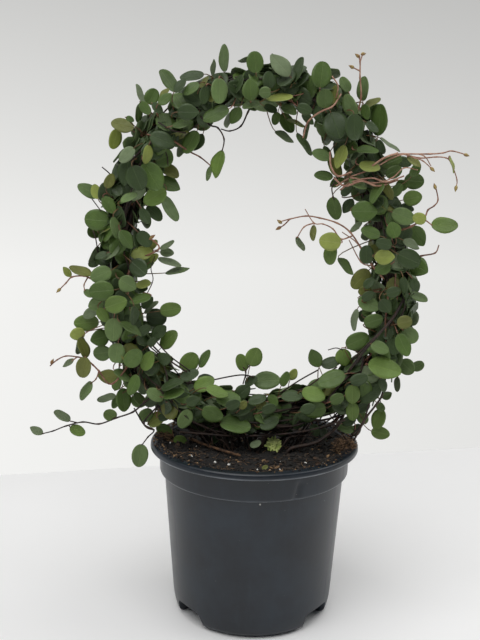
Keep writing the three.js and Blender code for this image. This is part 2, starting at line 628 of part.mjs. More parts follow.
// Pot
function makePot() {
  const lipFoot = POT_HEIGHT - LIP_HEIGHT;
  const shoulder = lipFoot - COLLAR_HEIGHT;
  const floorTop = FLOOR_HEIGHT + FLOOR_THICKNESS;
  const profile = [
    [0, 0], [HUB_RADIUS, 0], [HUB_RADIUS + 2, FLOOR_HEIGHT], [FOOT_RADIUS - 3.4, FLOOR_HEIGHT],
    [FOOT_RADIUS - 2.4, 0], [FOOT_RADIUS, 0], [FOOT_RADIUS + 3.6, 2.6], [BODY_RADIUS_FOOT - 0.9, 7.4],
    [BODY_RADIUS_FOOT, FOOT_HEIGHT], [BODY_RADIUS_TOP, shoulder], [COLLAR_RADIUS - 0.4, shoulder + 0.8],
    [COLLAR_RADIUS, lipFoot], [LIP_RADIUS - 0.6, lipFoot], [LIP_RADIUS, lipFoot + 0.8],
    [LIP_RADIUS - 0.3, POT_HEIGHT - 0.7], [LIP_RADIUS - 1.2, POT_HEIGHT],
    [COLLAR_RADIUS, POT_HEIGHT], [COLLAR_RADIUS - WALL, POT_HEIGHT - 1.4],
    [COLLAR_RADIUS - WALL - 0.4, shoulder + 1.6], [BODY_RADIUS_TOP - WALL, shoulder],
    [BODY_RADIUS_FOOT - WALL, FOOT_HEIGHT], [BODY_RADIUS_FOOT - 4, floorTop],
    [HUB_RADIUS + 1, floorTop], [HUB_RADIUS - 1, FLOOR_THICKNESS], [0, FLOOR_THICKNESS],
  ];
  const wall = new THREE.LatheGeometry(profile.map(([r, z]) => new THREE.Vector2(r, z)), POT_SIDES);
  wall.rotateX(Math.PI / 2);
  let pot = solid(wall);
  for (const turn of NOTCH_TURNS) {
    pot = pot.subtract(notch(NOTCH_FOOT_WIDTH, NOTCH_TOP_WIDTH, NOTCH_HEIGHT, turn));
  }
  for (const turn of SMALL_NOTCH_TURNS) {
    pot = pot.subtract(notch(SMALL_NOTCH_WIDTH, SMALL_NOTCH_WIDTH - 1, SMALL_NOTCH_HEIGHT, turn));
  }
  for (let k = 0; k < DRAINS; k += 1) {
    const turn = (2 * Math.PI * (k + 0.5)) / DRAINS;
    const [x, y] = [DRAIN_CIRCLE * Math.cos(turn), DRAIN_CIRCLE * Math.sin(turn)];
    const hole = new THREE.LineCurve3(vector(x, y, FLOOR_HEIGHT - 2), vector(x, y, floorTop + 2));
    pot = pot.subtract(tube(hole, DRAIN_RADIUS, 6, 1));
  }
  return largest(pot);
}

// A cut through the foot, wider at the bottom; a turn of 0 faces the front
function notch(footWidth, topWidth, height, turn) {
  const outline = new THREE.Shape([
    new THREE.Vector2(-footWidth / 2, -1), new THREE.Vector2(footWidth / 2, -1),
    new THREE.Vector2(topWidth / 2, height), new THREE.Vector2(-topWidth / 2, height),
  ]);
  const wedge = new THREE.ExtrudeGeometry(outline, { depth: 16, bevelEnabled: false });
  wedge.translate(0, 0, FOOT_RADIUS - 6);
  wedge.rotateX(Math.PI / 2);
  wedge.rotateZ(radians(turn));
  return solid(wedge);
}

// Potting mix: its top is uneven, with chips of bark and perlite grown into it
function soilHeight(x, y) {
  const long = Math.sin(x / 9.3 + 1.1) * Math.cos(y / 8.1 - 0.4);
  const short = Math.sin(x / 4.1 - y / 5.3) * Math.cos(y / 3.7 + x / 7.9);
  return SOIL_TOP + SOIL_RELIEF * (0.6 * long + 0.4 * short);
}

function soilHeap(lift) {
  const shoulder = POT_HEIGHT - LIP_HEIGHT - COLLAR_HEIGHT;
  const floorTop = FLOOR_HEIGHT + FLOOR_THICKNESS + FIT_GAP;
  const within = (radius) => radius * Math.cos(Math.PI / POT_SIDES) - FIT_GAP;
  const collar = within(COLLAR_RADIUS - WALL - 0.4);
  const profile = [
    [0, FLOOR_THICKNESS + FIT_GAP], [within(HUB_RADIUS - 1), FLOOR_THICKNESS + FIT_GAP],
    [within(HUB_RADIUS + 1), floorTop], [within(BODY_RADIUS_FOOT - 4) - 1, floorTop],
    [within(BODY_RADIUS_FOOT - WALL), FOOT_HEIGHT + 0.3], [within(BODY_RADIUS_TOP - WALL), shoulder + 0.3],
    [collar, shoulder + 2.2], [collar, SOIL_TOP - 1.5],
    [51, SOIL_TOP], [38, SOIL_TOP], [25, SOIL_TOP], [12, SOIL_TOP], [0, SOIL_TOP],
  ];
  const heap = new THREE.LatheGeometry(profile.map(([r, z]) => new THREE.Vector2(r, z)), SOIL_SIDES);
  heap.rotateX(Math.PI / 2);
  const points = heap.attributes.position;
  for (let i = 0; i < points.count; i += 1) {
    if (points.getZ(i) > SOIL_TOP - 0.1) {
      const [x, y] = [points.getX(i), points.getY(i)].map((n) => Math.round(n * 1000) / 1000);
      points.setZ(i, soilHeight(x, y));
    }
  }
  return heap.translate(0, 0, lift);
}

function makeSoil() {
  let soil = solid(soilHeap(0));
  const draw = draws(77);
  for (let k = 0; k < CHIPS; k += 1) {
    const turn = 2 * Math.PI * draw();
    const reach = 51 * Math.sqrt(draw());
    const [x, y] = [reach * Math.cos(turn), reach * Math.sin(turn)];
    const chip = new THREE.OctahedronGeometry(1);
    chip.scale(1.2 + 1.6 * draw(), 1 + draw(), 0.9 + 0.7 * draw());
    chip.rotateZ(Math.PI * draw());
    chip.rotateX(0.5 * draw());
    chip.translate(x, y, soilHeight(x, y) + 0.3);
    soil = soil.add(solid(chip));
  }
  return soil;
}

// Hoop: a leg, once round the wreath, and the other leg
function hoopPath() {
  const points = [];
  const start = wreathAt(HOOP_START).at;
  const end = wreathAt(-HOOP_START).at;
  points.push(vector(start.x + LEG_BEND, 0, LEG_FOOT), vector(start.x + LEG_BEND, 0, (LEG_FOOT + start.z) / 2));
  points.push(vector(start.x + LEG_BEND, 0, start.z - LEG_BEND * 1.3));
  points.push(vector(start.x + LEG_BEND * 0.7, 0, start.z - LEG_BEND * 0.35));
  const count = 42;
  for (let k = 0; k <= count; k += 1) {
    const share = HOOP_START + ((1 - 2 * HOOP_START) * k) / count;
    points.push(wreathAt(share).at);
  }
  points.push(vector(end.x - LEG_BEND * 0.7, 0, end.z - LEG_BEND * 0.35));
  points.push(vector(end.x - LEG_BEND, 0, end.z - LEG_BEND * 1.3));
  points.push(vector(end.x - LEG_BEND, 0, (LEG_FOOT + end.z) / 2), vector(end.x - LEG_BEND, 0, LEG_FOOT));
  return through(points);
}

// The line of one stem that winds round the hoop within a spray
class Winding extends THREE.Curve {
  constructor(from, to, radius, bulge, start, turns) {
    super();
    Object.assign(this, { from, to, radius, bulge, start, turns });
  }

  getPoint(part, target = vector()) {
    const { at, outward } = wreathAt(this.from + (this.to - this.from) * part);
    const turn = this.start + 2 * Math.PI * this.turns * part;
    const reach = this.radius + this.bulge * Math.sin(Math.PI * part);
    target.copy(at).addScaledVector(FRONT, reach * Math.cos(turn));
    return target.addScaledVector(outward, reach * Math.sin(turn));
  }
}

// Stems packed into a rope round the hoop, its strands winding with it
function rope(from, to, radius) {
  const count = ROPE_STRANDS * 2;
  const points = [];
  for (let step = 0; step <= ROPE_STEPS; step += 1) {
    const share = from + ((to - from) * step) / ROPE_STEPS;
    const { at, outward } = wreathAt(share);
    for (let k = 0; k < count; k += 1) {
      const turn = 2 * Math.PI * (k / count + ROPE_TURNS * share);
      const reach = radius * (k % 2 ? ROPE_VALLEY : ROPE_RIDGE);
      const corner = at.clone().addScaledVector(FRONT, reach * Math.cos(turn));
      points.push(corner.addScaledVector(outward, reach * Math.sin(turn)));
    }
  }
  const last = ROPE_STEPS * count;
  const [startMiddle, endMiddle] = [points.length, points.length + 1];
  points.push(wreathAt(from).at, wreathAt(to).at);
  const triangles = [];
  for (let k = 0; k < count; k += 1) {
    const next = (k + 1) % count;
    triangles.push([startMiddle, next, k], [endMiddle, last + k, last + next]);
    for (let row = 0; row < last; row += count) {
      triangles.push([row + k, row + next, row + count + next], [row + k, row + count + next, row + count + k]);
    }
  }
  return solid(faceted(points, triangles));
}

// The woody middle of a spray, with a hole for the hoop; at the bottom a looser stem winds over it
function sprayWood(spray) {
  const half = SPRAY_GAP / 2 / WREATH_LENGTH;
  const [from, to] = [spray / SPRAYS + half, (spray + 1) / SPRAYS - half];
  const bottom = BOTTOM_SPRAYS.includes(spray);
  const radius = bottom ? BOTTOM_ROPE_RADIUS : ROPE_RADIUS;
  let wood = rope(from, to, radius);
  if (bottom) {
    const strand = new Winding(from + 0.003, to - 0.003, radius * 0.8, STRAND_BULGE, 1.3 * spray, 0.4);
    wood = wood.add(tube(strand, STEM_RADIUS, 3, 5));
  }
  for (const [home, line] of ROOTED_STEMS) {
    if (home === spray) wood = wood.add(tube(rootedPath(line), ROOTED_RADIUS, 3, ROOTED_STEPS));
  }
  return wood.subtract(hoopRoom);
}

function rootedPath(line) {
  return through(line.map((point) => vector(...point)));
}

function budSolid(x, y, depth) {
  const bud = new THREE.OctahedronGeometry(1);
  bud.scale(BUD_LENGTH * 0.36, BUD_LENGTH * 0.36, BUD_LENGTH / 2);
  const at = spot(x, y, depth);
  bud.translate(at.x, at.y, at.z);
  return solid(bud);
}

// Loose shoot: its lines, leaves on stalks that start at the nearest point of a line, and buds
function makeShoot({ lines, leaves, buds }) {
  const paths = lines.map((line) => through(line.map(([x, y, depth]) => spot(x, y, depth))));
  let body = paths.map((path, k) => tube(path, SHOOT_RADIUS, 3, lines[k].length))
    .reduce((sum, piece) => sum.add(piece));
  const spots = paths.flatMap((path) => path.getPoints(24));
  for (const row of leaves) {
    const leaf = leafInView(row.slice(0, 5), row[5], UP);
    const root = spots.reduce((best, p) => (p.distanceTo(leaf.base) < best.distanceTo(leaf.base) ? p : best));
    body = body.add(leafSolid(leaf, root.clone().addScaledVector(leaf.along, -0.8)));
    placed.push({ leaf });
  }
  for (const [x, y, depth] of buds) body = body.add(budSolid(x, y, depth));
  return { look: 'shoot', body: largest(body), path: paths[0], steps: lines[0].length };
}

function makeSeedling() {
  const [x, y] = SEEDLING;
  const foot = soilHeight(x, y);
  let plant = tube(new THREE.LineCurve3(vector(x, y, foot - 3), vector(x, y, foot + 5)), 0.9, 5, 1);
  const blades = 5;
  for (let k = 0; k < blades; k += 1) {
    const turn = (2 * Math.PI * k) / blades + 0.3;
    const away = vector(Math.cos(turn), Math.sin(turn), 0.25 + 0.2 * (k % 2));
    const base = vector(x, y, foot + 3.2 + 0.8 * (k % 2)).addScaledVector(away, 0.5);
    const leaf = makeLeaf(base, away, UP, 6.2, 4.2, PLAIN_RIM);
    plant = plant.add(leafSolid(leaf, base.clone().addScaledVector(away, -1)));
  }
  return largest(plant);
}

// What a tuft must keep clear of: the rim, as a plain ring a little larger than it, and the mix
function rimRoom() {
  const inner = (COLLAR_RADIUS - WALL) * Math.cos(Math.PI / POT_SIDES) - FIT_GAP;
  const [outer, top] = [LIP_RADIUS + FIT_GAP, POT_HEIGHT + FIT_GAP];
  const foot = SOIL_TOP - 12;
  const profile = [[inner, foot], [outer, foot], [outer, top], [inner, top], [inner, foot]];
  const band = new THREE.LatheGeometry(profile.map(([r, z]) => new THREE.Vector2(r, z)), POT_SIDES);
  return solid(band.rotateX(Math.PI / 2));
}

// A tuft of coir that lies in the corner of rim and mix
function makeTuft({ at, size }, seed) {
  const draw = draws(seed);
  const lump = mergeVertices(new THREE.IcosahedronGeometry(1, 1).deleteAttribute('normal').deleteAttribute('uv'));
  const points = lump.attributes.position;
  for (let i = 0; i < points.count; i += 1) {
    const reach = 0.78 + 0.4 * draw();
    points.setXYZ(i, points.getX(i) * reach, points.getY(i) * reach, points.getZ(i) * reach);
  }
  lump.scale(...size);
  lump.translate(...at);
  return largest(solid(lump).subtract(rimRoom()).subtract(solid(soilHeap(FIT_GAP))));
}

function makeTwig() {
  const points = TWIG.map(([x, y]) => vector(x, y, SOIL_TOP + SOIL_RELIEF + 1.6));
  return tube(through(points), 0.9, 5, 6);
}

// The mix with holes for what stands in it
function plantedSoil() {
  let soil = makeSoil().subtract(hoopRoom);
  for (const [, line] of ROOTED_STEMS) {
    soil = soil.subtract(roomFor(rootedPath(line), ROOTED_RADIUS + STEM_ROOM, 3, ROOTED_STEPS));
  }
  const [x, y] = SEEDLING;
  const foot = new THREE.LineCurve3(vector(x, y, SOIL_TOP - 6), vector(x, y, SOIL_TOP + 6));
  return largest(soil.subtract(tube(foot, SEEDLING_ROOM, 6, 1)));
}

// Whether a piece keeps the gap between nodes to every solid that is already there
function hasRoom(piece, others) {
  return others.every((other) => piece.minGap(other, NODE_GAP * 2) > NODE_GAP);
}

const hoop = tube(hoopPath(), WIRE_RADIUS, WIRE_SIDES, HOOP_STEPS);
const hoopRoom = roomFor(hoopPath(), WIRE_RADIUS + WIRE_ROOM, WIRE_SIDES, HOOP_STEPS);

// Shoots come first, so that the wreath's leaves keep clear of them
const shoots = Object.entries(SHOOTS).map(([name, shoot]) => ({ name, ...makeShoot(shoot) }));
for (const rows of Object.values(FRONT_LEAVES)) rows.forEach(placeFrontLeaf);
for (let spray = 0; spray < SPRAYS; spray += 1) {
  for (let number = 0; number < BACK_LEAVES; number += 1) placeBackLeaf(spray, number);
}

const single = [
  { name: 'pot', look: 'pot', body: makePot() },
  { name: 'potting_mix', look: 'soil', body: plantedSoil() },
  { name: 'support_hoop', look: 'wire', body: hoop },
  { name: 'seedling', look: 'young', body: makeSeedling() },
  { name: 'loose_twig', look: 'twig', body: makeTwig() },
];
Object.entries(COIR_TUFTS).forEach(([name, tuft], k) => {
  single.push({ name, look: 'fibre', body: makeTuft(tuft, TUFT_SEED + k) });
});

const shootRooms = shoots.map(({ path, steps }) => roomFor(path, SHOOT_RADIUS + SHOOT_ROOM, 5, steps));
const sprays = Array.from({ length: SPRAYS }, (_, spray) => {
  const wood = shootRooms.reduce((body, room) => body.subtract(room), sprayWood(spray));
  return { name: `wreath_spray_${String(spray + 1).padStart(2, '0')}`, look: 'leaf', body: largest(wood) };
});

// Each leaf of the wreath joins the spray that its stalk is rooted in, where it is clear of every other node
for (const { leaf, share, root } of placed) {
  if (share === undefined) continue;
  const home = sprays[Math.floor(share * SPRAYS)];
  const others = [...single, ...shoots, ...sprays].filter((node) => node !== home).map(({ body }) => body);
  const piece = leafSolid(leaf, root);
  if (hasRoom(piece, others)) home.body = home.body.add(piece);
}

const vine = new THREE.Group();
for (const { name, look, body } of [...single, ...sprays, ...shoots]) {
  vine.add(meshOf(name, largest(body), look));
}

export default vine;
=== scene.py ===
import itertools
import math

import bpy
import numpy as np
from mathutils import Euler, Matrix, Vector, noise


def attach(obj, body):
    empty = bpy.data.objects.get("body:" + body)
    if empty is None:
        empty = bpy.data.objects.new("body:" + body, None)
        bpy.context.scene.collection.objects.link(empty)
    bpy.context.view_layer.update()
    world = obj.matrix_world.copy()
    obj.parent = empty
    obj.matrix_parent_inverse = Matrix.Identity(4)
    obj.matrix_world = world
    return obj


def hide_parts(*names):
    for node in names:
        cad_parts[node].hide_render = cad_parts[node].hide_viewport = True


# A wire vine in a nursery pot, trained round a wreath hoop.
# Lengths are in millimetres, +Z is up and -Y is the front. Meshes are scaled to metres as they are made.
# Ranges of draws are given as the least value and how much it may grow.

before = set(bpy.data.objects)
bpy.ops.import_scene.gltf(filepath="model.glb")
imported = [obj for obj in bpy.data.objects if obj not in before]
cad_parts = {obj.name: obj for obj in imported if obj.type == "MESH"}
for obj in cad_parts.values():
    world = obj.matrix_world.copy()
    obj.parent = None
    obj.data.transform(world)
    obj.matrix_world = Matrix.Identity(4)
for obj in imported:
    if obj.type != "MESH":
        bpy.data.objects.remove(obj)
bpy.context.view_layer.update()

MM = 0.001
UP = Vector((0, 0, 1))
FRONT = Vector((0, -1, 0))

# Camera: where the photograph was taken from, for a frame of 480 by 640

FRAME_WIDTH, FRAME_HEIGHT = 480, 640
FOCAL = 875
EYE = Vector((0, -529, 281))
PITCH, YAW, ROLL = math.radians(10.3), math.radians(-1.09), math.radians(0.87)
SENSOR = 36


def view_axes():
    ahead = Vector((math.sin(YAW) * math.cos(PITCH), math.cos(YAW) * math.cos(PITCH), -math.sin(PITCH)))
    level = Vector((math.cos(YAW), -math.sin(YAW), 0))
    upright = level.cross(ahead)
    right = level * math.cos(ROLL) + upright * math.sin(ROLL)
    up = upright * math.cos(ROLL) - level * math.sin(ROLL)
    return ahead, right, up


AHEAD, RIGHT, UPWARD = view_axes()


def make_camera():
    data = bpy.data.cameras.new("camera")
    data.sensor_width = SENSOR
    data.lens = FOCAL / FRAME_HEIGHT * SENSOR
    camera = bpy.data.objects.new("camera", data)
    turn = Matrix((RIGHT, UPWARD, -AHEAD)).transposed()
    camera.matrix_world = Matrix.Translation(EYE * MM) @ turn.to_4x4()
    bpy.context.scene.collection.objects.link(camera)
    bpy.context.scene.camera = camera


def sight_at(x, y):
    """The direction from the eye through a pixel of the photograph."""
    return AHEAD + RIGHT * ((x - FRAME_WIDTH / 2) / FOCAL) + UPWARD * ((FRAME_HEIGHT / 2 - y) / FOCAL)


def spot(x, y, depth):
    """The place at a depth that shows at a pixel of the photograph."""
    sight = sight_at(x, y)
    return EYE + sight * ((depth - EYE.y) / sight.y)


make_camera()
bpy.context.scene.view_settings.view_transform = "Standard"

# Dimensions of the pot, the mix, the wreath and the leaves, as in the frame, apart from wider foot cut-outs

LIP_RADIUS = 65
LIP_HEIGHT = 3.8
POT_HEIGHT = 109
COLLAR_RADIUS = 59.4
COLLAR_HEIGHT = 15.6
BODY_RADIUS_TOP = 56.2
BODY_RADIUS_FOOT = 50.5
FOOT_HEIGHT = 12.2
FOOT_RADIUS = 44
WALL = 1.5
FLOOR_HEIGHT = 6.6
FLOOR_THICKNESS = 1.6
HUB_RADIUS = 15
DRAIN_RADIUS = 4
DRAIN_CIRCLE = 31
DRAINS = 6
NOTCH_TURNS = (55, 128, 235, 308)
NOTCH_DEPTHS = (38, 45, 54)
NOTCH_HEIGHTS = (6.4, 6.8, 13.8)
NOTCH_FOOT_WIDTH = 28
NOTCH_TOP_WIDTH = 22
SMALL_NOTCH_TURNS = (0, 180)
SMALL_NOTCH_HEIGHTS = (1.6, 1.6, 1.6)
SMALL_NOTCH_WIDTH = 5.5
SOIL_TOP = 104.2
SOIL_RELIEF = 1.3
WREATH_LINE = [
    (-10, 126), (-50, 137), (-77, 168), (-84, 210), (-79, 252), (-64, 291), (-32, 316),
    (9, 326), (46, 309), (66, 271), (79, 231), (84, 189), (68, 151), (32, 131),
]
SPRAYS = 16
BOTTOM_SPRAYS = (0, 1, 14, 15)
BAND_RADIUS = 17
WIRE_RADIUS = 1.5
HOOP_START = 0.028
LEG_FOOT = 32
LEG_BEND = 9
BLADE_CUP = 0.13
ROOT_DEPTH = 3.7
BOTTOM_ROOT_DEPTH = 3.2
STALK_LEAD = 7
BACK_LEAVES = 8
CLEARANCE = 2

# Leaves that show from the front: joint, tip and width in pixels of the photograph, and the tone

FRONT_LEAVES = {
    "top": [
        (224, 72, 223, 44, 10, "l"), (212, 76, 214, 59, 5, "u"), (176, 92, 161, 69, 13, "m"),
        (204, 74, 180, 79, 11, "d"), (148, 104, 156, 89, 15, "m"), (145, 106, 136, 84, 5, "u"),
        (138, 123, 138, 104, 6, "m"), (134, 128, 111, 123, 14, "o"), (118, 129, 112, 149, 12, "y"),
        (134, 148, 120, 162, 13, "u"), (149, 145, 146, 164, 9, "y"), (150, 135, 174, 145, 17, "d"),
        (172, 126, 193, 121, 9, "m"), (197, 131, 184, 153, 16, "m"), (203, 134, 194, 151, 12, "d"),
        (219, 78, 219, 104, 17, "l"), (229, 109, 203, 120, 15, "m"), (177, 112, 199, 112, 17, "d"),
        (206, 86, 203, 104, 11, "d"), (160, 100, 168, 88, 7, "o"), (200, 88, 208, 76, 6, "o"),
        (199, 83, 184, 95, 11, "m"), (256, 73, 254, 51, 18, "m"), (290, 76, 271, 54, 18, "u"),
        (292, 84, 303, 57, 10, "d"), (320, 88, 323, 61, 21, "m"), (293, 96, 266, 100, 9, "y"),
        (287, 119, 305, 127, 5, "y"), (275, 131, 294, 142, 8, "u"), (297, 133, 311, 156, 8, "m"),
        (308, 122, 304, 140, 5, "d"), (251, 101, 250, 78, 18, "m"), (271, 92, 259, 93, 12, "l"),
        (270, 89, 268, 71, 14, "d"), (278, 112, 274, 125, 9, "m"), (282, 113, 292, 133, 14, "m"),
        (240, 107, 231, 124, 13, "m"), (260, 102, 242, 107, 9, "l"), (325, 108, 325, 89, 18, "m"),
        (333, 104, 336, 85, 9, "o"),
    ],
    "right": [
        (331, 112, 340, 138, 26, "d"), (349, 92, 341, 77, 11, "l"), (363, 101, 363, 76, 11, "l"),
        (355, 118, 346, 94, 13, "l"), (364, 108, 380, 97, 7, "o"), (368, 108, 384, 118, 18, "m"),
        (378, 136, 382, 104, 15, "m"), (354, 114, 355, 141, 19, "d"), (345, 145, 337, 169, 12, "y"),
        (329, 158, 341, 177, 13, "o"), (359, 165, 380, 169, 11, "y"), (356, 150, 379, 150, 8, "m"),
        (382, 166, 402, 157, 15, "m"), (380, 138, 400, 152, 5, "u"), (404, 180, 424, 182, 17, "m"),
        (411, 177, 420, 163, 9, "m"), (331, 158, 312, 152, 12, "l"), (333, 177, 314, 175, 10, "l"),
        (349, 178, 367, 188, 11, "l"), (332, 197, 337, 220, 14, "m"), (353, 199, 343, 213, 11, "d"),
        (351, 211, 378, 212, 22, "m"), (362, 222, 350, 232, 5, "u"), (380, 236, 361, 229, 12, "m"),
        (367, 264, 366, 245, 15, "d"), (374, 257, 395, 257, 16, "y"), (391, 264, 375, 272, 14, "m"),
        (369, 270, 352, 288, 17, "o"), (372, 290, 358, 292, 12, "o"), (358, 299, 379, 309, 15, "l"),
        (357, 309, 353, 331, 5, "u"), (362, 310, 363, 322, 8, "d"), (364, 324, 383, 318, 15, "m"),
        (380, 300, 390, 312, 14, "d"), (386, 294, 401, 290, 11, "d"), (383, 183, 370, 203, 8, "m"),
        (385, 182, 392, 200, 8, "o"), (396, 186, 408, 185, 12, "m"), (403, 200, 422, 196, 16, "b"),
        (392, 212, 415, 221, 17, "l"), (396, 238, 391, 222, 15, "m"), (411, 226, 424, 246, 17, "m"),
        (403, 240, 420, 248, 9, "u"), (398, 254, 420, 264, 20, "d"), (410, 262, 427, 272, 20, "m"),
        (412, 278, 418, 292, 10, "d"), (410, 294, 428, 300, 8, "m"), (403, 277, 405, 293, 8, "d"),
        (397, 324, 412, 320, 14, "o"), (403, 330, 417, 341, 16, "l"), (398, 334, 408, 356, 15, "m"),
        (401, 362, 413, 372, 16, "l"), (412, 369, 424, 363, 11, "m"), (392, 246, 376, 242, 12, "d"),
    ],
    "left": [
        (161, 163, 178, 178, 12, "o"), (158, 178, 180, 190, 15, "m"), (144, 163, 160, 190, 24, "m"),
        (166, 190, 144, 203, 18, "b"), (162, 196, 176, 222, 10, "l"), (147, 206, 162, 220, 12, "d"),
        (141, 208, 148, 224, 9, "d"), (120, 201, 137, 193, 8, "l"), (98, 197, 78, 184, 12, "m"),
        (98, 199, 94, 184, 11, "y"), (103, 202, 106, 182, 13, "d"), (106, 188, 113, 174, 10, "o"),
        (103, 197, 115, 213, 12, "m"), (96, 229, 91, 210, 14, "y"), (110, 221, 84, 219, 22, "m"),
        (101, 231, 88, 232, 14, "m"), (113, 217, 117, 239, 8, "l"), (120, 230, 132, 249, 12, "m"),
        (132, 166, 142, 190, 22, "d"), (128, 160, 124, 186, 18, "d"), (138, 232, 151, 246, 14, "d"),
        (98, 246, 90, 263, 5, "u"), (107, 253, 95, 258, 7, "d"), (99, 262, 88, 265, 8, "d"),
        (111, 270, 91, 279, 17, "l"), (114, 290, 89, 292, 21, "m"), (105, 308, 127, 300, 18, "b"),
        (104, 302, 88, 307, 15, "l"), (98, 309, 83, 317, 10, "u"), (99, 322, 74, 323, 17, "b"),
        (85, 332, 70, 336, 13, "y"), (82, 337, 79, 355, 8, "u"), (109, 336, 91, 340, 18, "m"),
        (114, 318, 113, 341, 18, "l"), (111, 352, 93, 354, 16, "l"), (118, 343, 115, 363, 17, "l"),
        (119, 279, 136, 289, 18, "l"), (151, 283, 135, 285, 8, "y"), (153, 252, 130, 255, 13, "y"),
        (131, 262, 147, 274, 19, "d"), (160, 252, 174, 253, 9, "u"), (160, 249, 175, 242, 5, "u"),
        (158, 258, 181, 267, 5, "u"), (165, 273, 190, 270, 5, "m"), (134, 290, 148, 288, 8, "d"),
        (151, 296, 130, 303, 8, "m"), (142, 308, 153, 297, 10, "d"), (144, 313, 158, 301, 5, "u"),
        (146, 317, 167, 318, 19, "d"), (160, 311, 181, 308, 15, "b"), (152, 338, 166, 326, 12, "d"),
        (161, 348, 176, 331, 14, "b"), (120, 322, 142, 335, 5, "m"), (139, 334, 150, 326, 10, "d"),
        (126, 366, 141, 350, 17, "m"), (143, 370, 153, 352, 13, "b"), (134, 306, 134, 326, 8, "d"),
        (158, 362, 170, 356, 14, "d"),
    ],
    "bottom": [
        (119, 378, 97, 375, 15, "o"), (116, 396, 97, 400, 5, "u"), (120, 396, 112, 408, 8, "m"),
        (122, 388, 125, 412, 14, "m"), (134, 393, 145, 406, 7, "l"), (147, 390, 163, 400, 11, "l"),
        (114, 370, 131, 381, 6, "l"), (138, 375, 130, 395, 12, "m"), (183, 371, 196, 353, 18, "b"),
        (199, 367, 210, 350, 8, "m"), (180, 378, 199, 372, 10, "d"), (194, 389, 214, 379, 14, "b"),
        (161, 389, 183, 380, 6, "d"), (163, 397, 184, 390, 7, "m"), (206, 388, 228, 396, 8, "b"),
        (216, 397, 241, 401, 14, "m"), (236, 397, 250, 386, 15, "d"), (248, 402, 266, 397, 8, "d"),
        (240, 409, 246, 401, 8, "o"), (202, 410, 223, 418, 17, "m"), (220, 422, 251, 427, 13, "m"),
        (190, 410, 180, 428, 14, "l"), (148, 425, 165, 413, 13, "y"), (156, 427, 173, 433, 13, "b"),
        (174, 438, 187, 445, 13, "b"), (208, 443, 221, 434, 8, "d"), (168, 402, 188, 396, 14, "d"),
        (253, 381, 281, 380, 17, "l"), (245, 385, 257, 377, 8, "d"), (269, 395, 277, 405, 9, "m"),
        (256, 408, 266, 402, 8, "o"), (260, 427, 279, 420, 10, "d"), (245, 371, 239, 354, 12, "b"),
        (250, 366, 258, 348, 17, "b"), (290, 380, 296, 369, 9, "y"), (319, 367, 311, 349, 14, "m"),
        (321, 365, 341, 361, 10, "d"), (341, 349, 346, 366, 16, "b"), (346, 346, 369, 336, 18, "m"),
        (371, 344, 389, 351, 12, "l"), (368, 364, 401, 373, 19, "b"), (345, 374, 318, 385, 15, "m"),
        (350, 382, 368, 377, 12, "d"), (302, 391, 325, 398, 14, "b"), (326, 408, 304, 411, 18, "m"),
        (352, 385, 353, 404, 15, "b"), (352, 402, 353, 421, 13, "b"), (354, 430, 336, 424, 10, "l"),
        (319, 425, 326, 440, 8, "d"), (312, 424, 318, 436, 9, "d"), (382, 409, 375, 429, 13, "b"),
        (371, 431, 390, 435, 13, "b"), (382, 398, 392, 393, 9, "m"), (377, 403, 384, 411, 8, "m"),
        (398, 377, 396, 392, 5, "u"), (360, 401, 382, 386, 14, "d"), (281, 396, 303, 396, 9, "d"),
        (281, 386, 289, 372, 8, "m"),
    ],
}

# Loose shoots: lines of x, y in the photograph and depth, leaves as above with their depth, and buds

